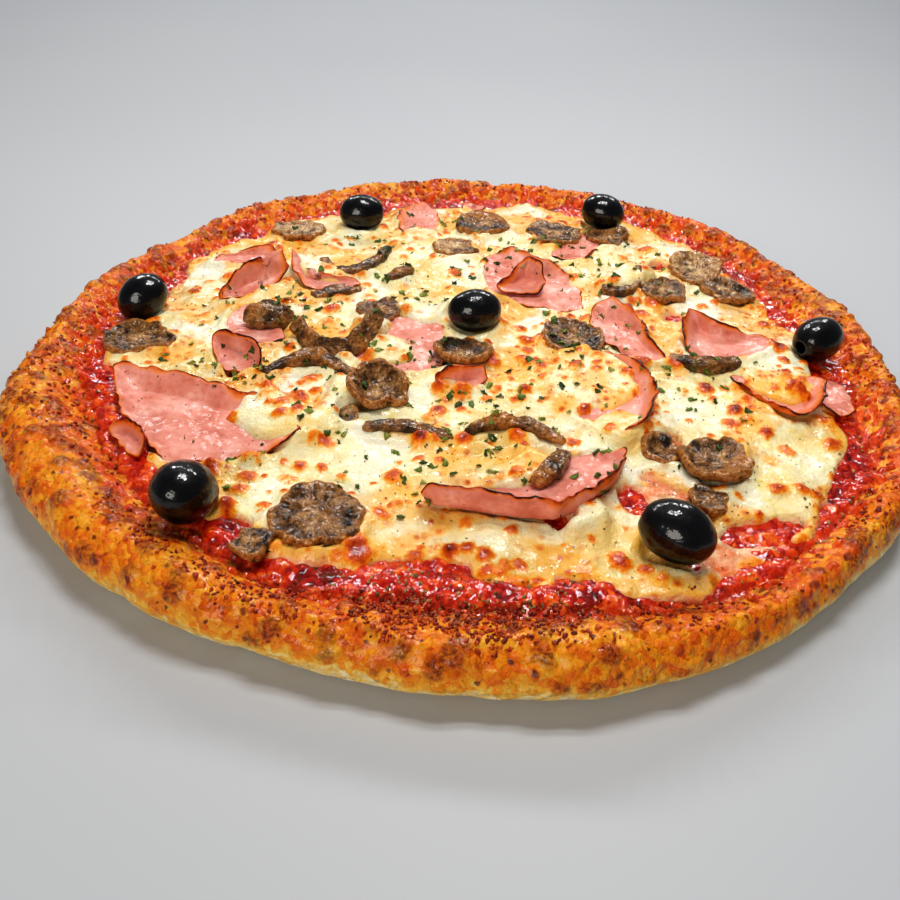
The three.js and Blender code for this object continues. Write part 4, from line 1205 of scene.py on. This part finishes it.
def make_scatter_tree(material):
    """Scatters crinkled lumps on a sheet, in sizes from smallest to largest."""
    tree = bpy.data.node_groups.new("scatter_" + material.name, "GeometryNodeTree")
    numbers = ("Number per square metre", "Smallest", "Largest", "Width", "Thickness", "Tilt")
    sockets = {"Sheet": "Geometry"} | dict.fromkeys(numbers, "Float") | {"Seed": "Int", "Roundness": "Int"}
    for label, kind in sockets.items():
        tree.interface.new_socket(label, in_out="INPUT", socket_type="NodeSocket" + kind)
    tree.interface.new_socket("Pieces", in_out="OUTPUT", socket_type="NodeSocketGeometry")
    given = add(tree, "NodeGroupInput").node.outputs
    share = add(tree, "GeometryNodeInputNamedAttribute", "share", data_type="FLOAT")
    number = add(tree, PRODUCT, given["Number per square metre"], share)
    spread = "GeometryNodeDistributePointsOnFaces"
    points = add(tree, spread, given["Sheet"], Density=number, Seed=given["Seed"])
    facing = points.node.outputs["Rotation"]
    tilt = given["Tilt"]
    minus = add(tree, PRODUCT, tilt, -1.0)
    low = add(tree, XYZ, minus, minus, 0.0)
    high = add(tree, XYZ, tilt, tilt, 2 * math.pi)
    spin = add(tree, RANDOM, low, high, data_type="FLOAT_VECTOR", Seed=1)
    facing = add(tree, "FunctionNodeRotateRotation", facing, spin, rotation_space="LOCAL")
    length = add(tree, RANDOM, given["Smallest"], given["Largest"], Seed=2)
    shape = add(tree, XYZ, 1.0, given["Width"], given["Thickness"])
    scale = add(tree, VECTOR, shape, operation="SCALE", Scale=length)
    lump = add(tree, "GeometryNodeMeshIcoSphere", 0.5, given["Roundness"])
    placed = add(tree, "GeometryNodeInstanceOnPoints", points, None, lump, Rotation=facing, Scale=scale)
    tone = add(tree, RANDOM, 0.0, 1.0, Seed=3)
    store = "GeometryNodeStoreNamedAttribute"
    placed = add(tree, store, placed, None, "tone", tone, data_type="FLOAT", domain="INSTANCE")
    solid = add(tree, "GeometryNodeRealizeInstances", placed)
    crinkle = add(tree, NOISE, Scale=per(1.1), Detail=1)
    crinkle = add(tree, VECTOR, crinkle.node.outputs["Color"], (0.5,) * 3, operation="SUBTRACT")
    crinkle = add(tree, VECTOR, crinkle, operation="SCALE", Scale=given["Largest"])
    solid = add(tree, "GeometryNodeSetPosition", solid, None, None, crinkle)
    solid = add(tree, "GeometryNodeSetMaterial", solid, Material=material)
    add(tree, "NodeGroupOutput", solid)
    return tree


def scatter(name, share, material, slot, number, sizes, width, thickness, tilt, seed, roundness=1):
    """One piece with all the small things of a kind."""
    host = draped_sheet(share)
    modifier = host.modifiers.new("scatter", "NODES")
    modifier.node_group = make_scatter_tree(material)
    settings = {
        "Number per square metre": float(number), "Smallest": sizes[0] * MM, "Largest": sizes[1] * MM,
        "Width": width, "Thickness": thickness, "Tilt": tilt, "Seed": seed, "Roundness": roundness,
    }
    for socket in modifier.node_group.interface.items_tree:
        if socket.name in settings:
            modifier[socket.identifier] = settings[socket.name]
    data = bpy.data.meshes.new_from_object(host.evaluated_get(bpy.context.evaluated_depsgraph_get()))
    data.name = name
    bpy.data.objects.remove(host)
    finish_piece(name, data, material)
    print(name + ":", len(data.polygons), "faces")


# %% Materials of the small things
# Dried parsley and oregano: matt leaf bits, from dark green to yellow-green. Toasted grains: dried
# sauce and dough, from near black through red-brown to beige.
def make_bit_material(name, stops, shine):
    material, tree, place = new_material(name)
    fine = add(tree, NOISE, place, Scale=per(0.8), Detail=2)
    tone = add(tree, VALUE, attribute_name="tone", out="Fac")
    mixed = add(tree, SCALED_SUM, fine, 0.5, tone)
    base = add(tree, RAMP, add(tree, RANGE, mixed, 0.1, 1.4), stops=stops)
    bump = add(tree, BUMP, Height=fine, Distance=0.2 * MM, Strength=0.7)
    finish = add(tree, FINISH, Base_Color=base, Roughness=shine, IOR=1.45, Normal=bump)
    add(tree, OUTPUT, Surface=finish)
    return material


bits = {  # the colours from the darkest bit to the lightest, and the roughness
    "dried_herb_leaf": ([(0.0, "#24360E"), (0.4, "#4A641E"), (0.7, "#788C30"), (1.0, "#B0A850")], 0.6),
    "dark_fleck": ([(0.0, "#14100A"), (0.6, "#33291A"), (1.0, "#4A2A14")], 0.6),
    "toasted_grain": ([(0.0, "#4A0E04"), (0.4, "#962806"), (0.75, "#C64E0A"), (1.0, "#E88A24")], 0.4),
    "oregano_grain": ([(0.0, "#5A4420"), (0.5, "#9A8146"), (1.0, "#D0B070")], 0.55),
    "crisp_dough_bit": ([(0.0, "#7A2A08"), (0.5, "#C8600E"), (1.0, "#F2A440")], 0.5),
}
leaf, fleck, toasted, oregano, crisp = (make_bit_material(name, *looks) for name, looks in bits.items())

# %% Scatter them
turn = np.degrees(np.arctan2(grid_y, grid_x))  # -90 at the front
patches = on_grid(noise, 30, 81)
herb_share = step(8.0, -10.0, beyond) * step(120, 75, from_middle)
herb_share = herb_share * np.clip(0.35 + 1.3 * patches, 0.05, 1)
fleck_share = np.clip(0.5 + patches, 0.1, 1) * (beyond < 16)
# Toasted grains lie thickest on the front of the rim, and crisp bits on its left side.
front = step(38, 15, np.abs(turn + 97)) * step(-7, -2, beyond) * step(16, 8, beyond)
rim_zone = step(-4, 1, beyond) * step(15, 7, beyond)
grain_share = front * np.clip(0.6 + 1.2 * patches, 0, 1) + 0.2 * rim_zone * np.clip(0.5 + patches, 0, 1)
grain_share = np.clip(grain_share, 0, 1)
crisp_share = step(24, 8, np.abs(np.mod(turn, 360) - 190)) * step(9, 13, beyond)
sauce_zone = step(-14, -8, beyond) * step(2, -3, beyond)
at_front = step(18, 6, np.abs(turn + 90)) + 0.25 * step(30, 10, np.abs(turn + 40)) + 0.05
oregano_share = sauce_zone * at_front
# Each kind: where it lies, its material and slot, how many on a square metre, its shortest and longest
# length in mm, its width and thickness as shares of that, its tilt, its seed, and how round it is.
kinds = {
    "herb_leaves": (herb_share, leaf, "mushroom", 27000, (1.2, 3.6), 0.55, 0.16, 0.5, 11, 2),
    "herb_flecks": (fleck_share, fleck, "mushroom", 60000, (0.2, 0.8), 0.5, 0.4, 0.5, 12),
    "toasted_grains": (grain_share, toasted, "crust", 600000, (0.7, 1.6), 0.85, 0.7, 0.6, 13),
    "crisp_bits": (crisp_share, crisp, "crust", 60000, (1.2, 3.2), 0.8, 0.6, 0.8, 15),
    "oregano_grains": (oregano_share, oregano, "crust", 150000, (0.7, 1.7), 0.6, 0.5, 0.6, 14),
}
for name, (share, *settings) in kinds.items():
    scatter(name, np.clip(share * clear, 0, 1), *settings)

# %% [markdown]
# ## Floor, light and camera
# A plain pale floor, a row of small lights behind and a group of them overhead that make the wet
# sparkles, one large soft light from the front left, and a dim pale sky. The camera's place was
# worked out from the crust's outline: it looks down by 37 degrees.

# %% Floor
def make_floor():
    material, tree, place = new_material("pale_painted_floor")
    broad = add(tree, NOISE, place, Scale=per(400), Detail=2)
    base = add(tree, RAMP, broad, stops=[(0.3, "#BDBFC2"), (0.7, "#C3C5C7")])
    add(tree, OUTPUT, Surface=add(tree, FINISH, Base_Color=base, Roughness=0.6))
    half_side = 6.0 / MM
    corners = half_side * np.array([(-1, -1, 0), (1, -1, 0), (1, 1, 0), (-1, 1, 0)])
    data = new_mesh("floor", corners, [(0, 1, 2, 3)])
    data.materials.append(material)
    in_scene("floor", data)


make_floor()


# %% Light
def area_light(name, place, size, power, tint):
    """A square soft light that points at the pizza's middle."""
    data = bpy.data.lights.new(name, "AREA")
    data.size = size
    data.energy = power
    data.color = colour(tint)[:3]
    lamp = in_scene(name, data)
    lamp.location = place
    lamp.rotation_mode = "QUATERNION"
    lamp.rotation_quaternion = Vector(place).to_track_quat("Z", "Y")


for number, x in enumerate((-0.6, -0.3, 0.0, 0.3, 0.6)):
    area_light(f"back_window_{number}", (x, 0.95, 0.68), 0.14, 1.25, "#FFFFFF")
area_light("front_fill", (-0.4, -0.95, 0.5), 0.5, 4.4, "#FFF8EE")
for number, (x, y) in enumerate(itertools.product((-0.03, 0.06, 0.15), (0.04, 0.12))):
    area_light(f"overhead_{number}", (x, y, 0.55), 0.045, 0.28, "#FFFFFF")
world = bpy.data.worlds.new("pale_sky")
world.use_nodes = True
sky = world.node_tree.nodes["Background"].inputs
sky["Color"].default_value = colour("#EEF2F7")
sky["Strength"].default_value = 0.14
bpy.context.scene.world = world
bpy.context.scene.view_settings.view_transform = "Standard"
bpy.context.scene.view_settings.look = "Medium High Contrast"

# %% Camera
view_target = Vector((-4.01, -60.41, 8.0)) * MM
view_distance = 276.9 * MM
view_elevation, view_roll = math.radians(36.93), math.radians(2.06)
back = Vector((0, -math.cos(view_elevation), math.sin(view_elevation)))
across = Vector((1, 0, 0))
upwards = back.cross(across)
right = math.cos(view_roll) * across + math.sin(view_roll) * upwards
up = -math.sin(view_roll) * across + math.cos(view_roll) * upwards
camera_data = bpy.data.cameras.new("camera")
camera_data.lens, camera_data.sensor_width = 36.0, 36.0
camera_data.clip_start, camera_data.clip_end = 0.01, 20.0
camera = in_scene("camera", camera_data)
camera.matrix_world = Matrix.LocRotScale(
    view_target + view_distance * back, Matrix((right, up, back)).transposed(), None
)
bpy.context.scene.camera = camera
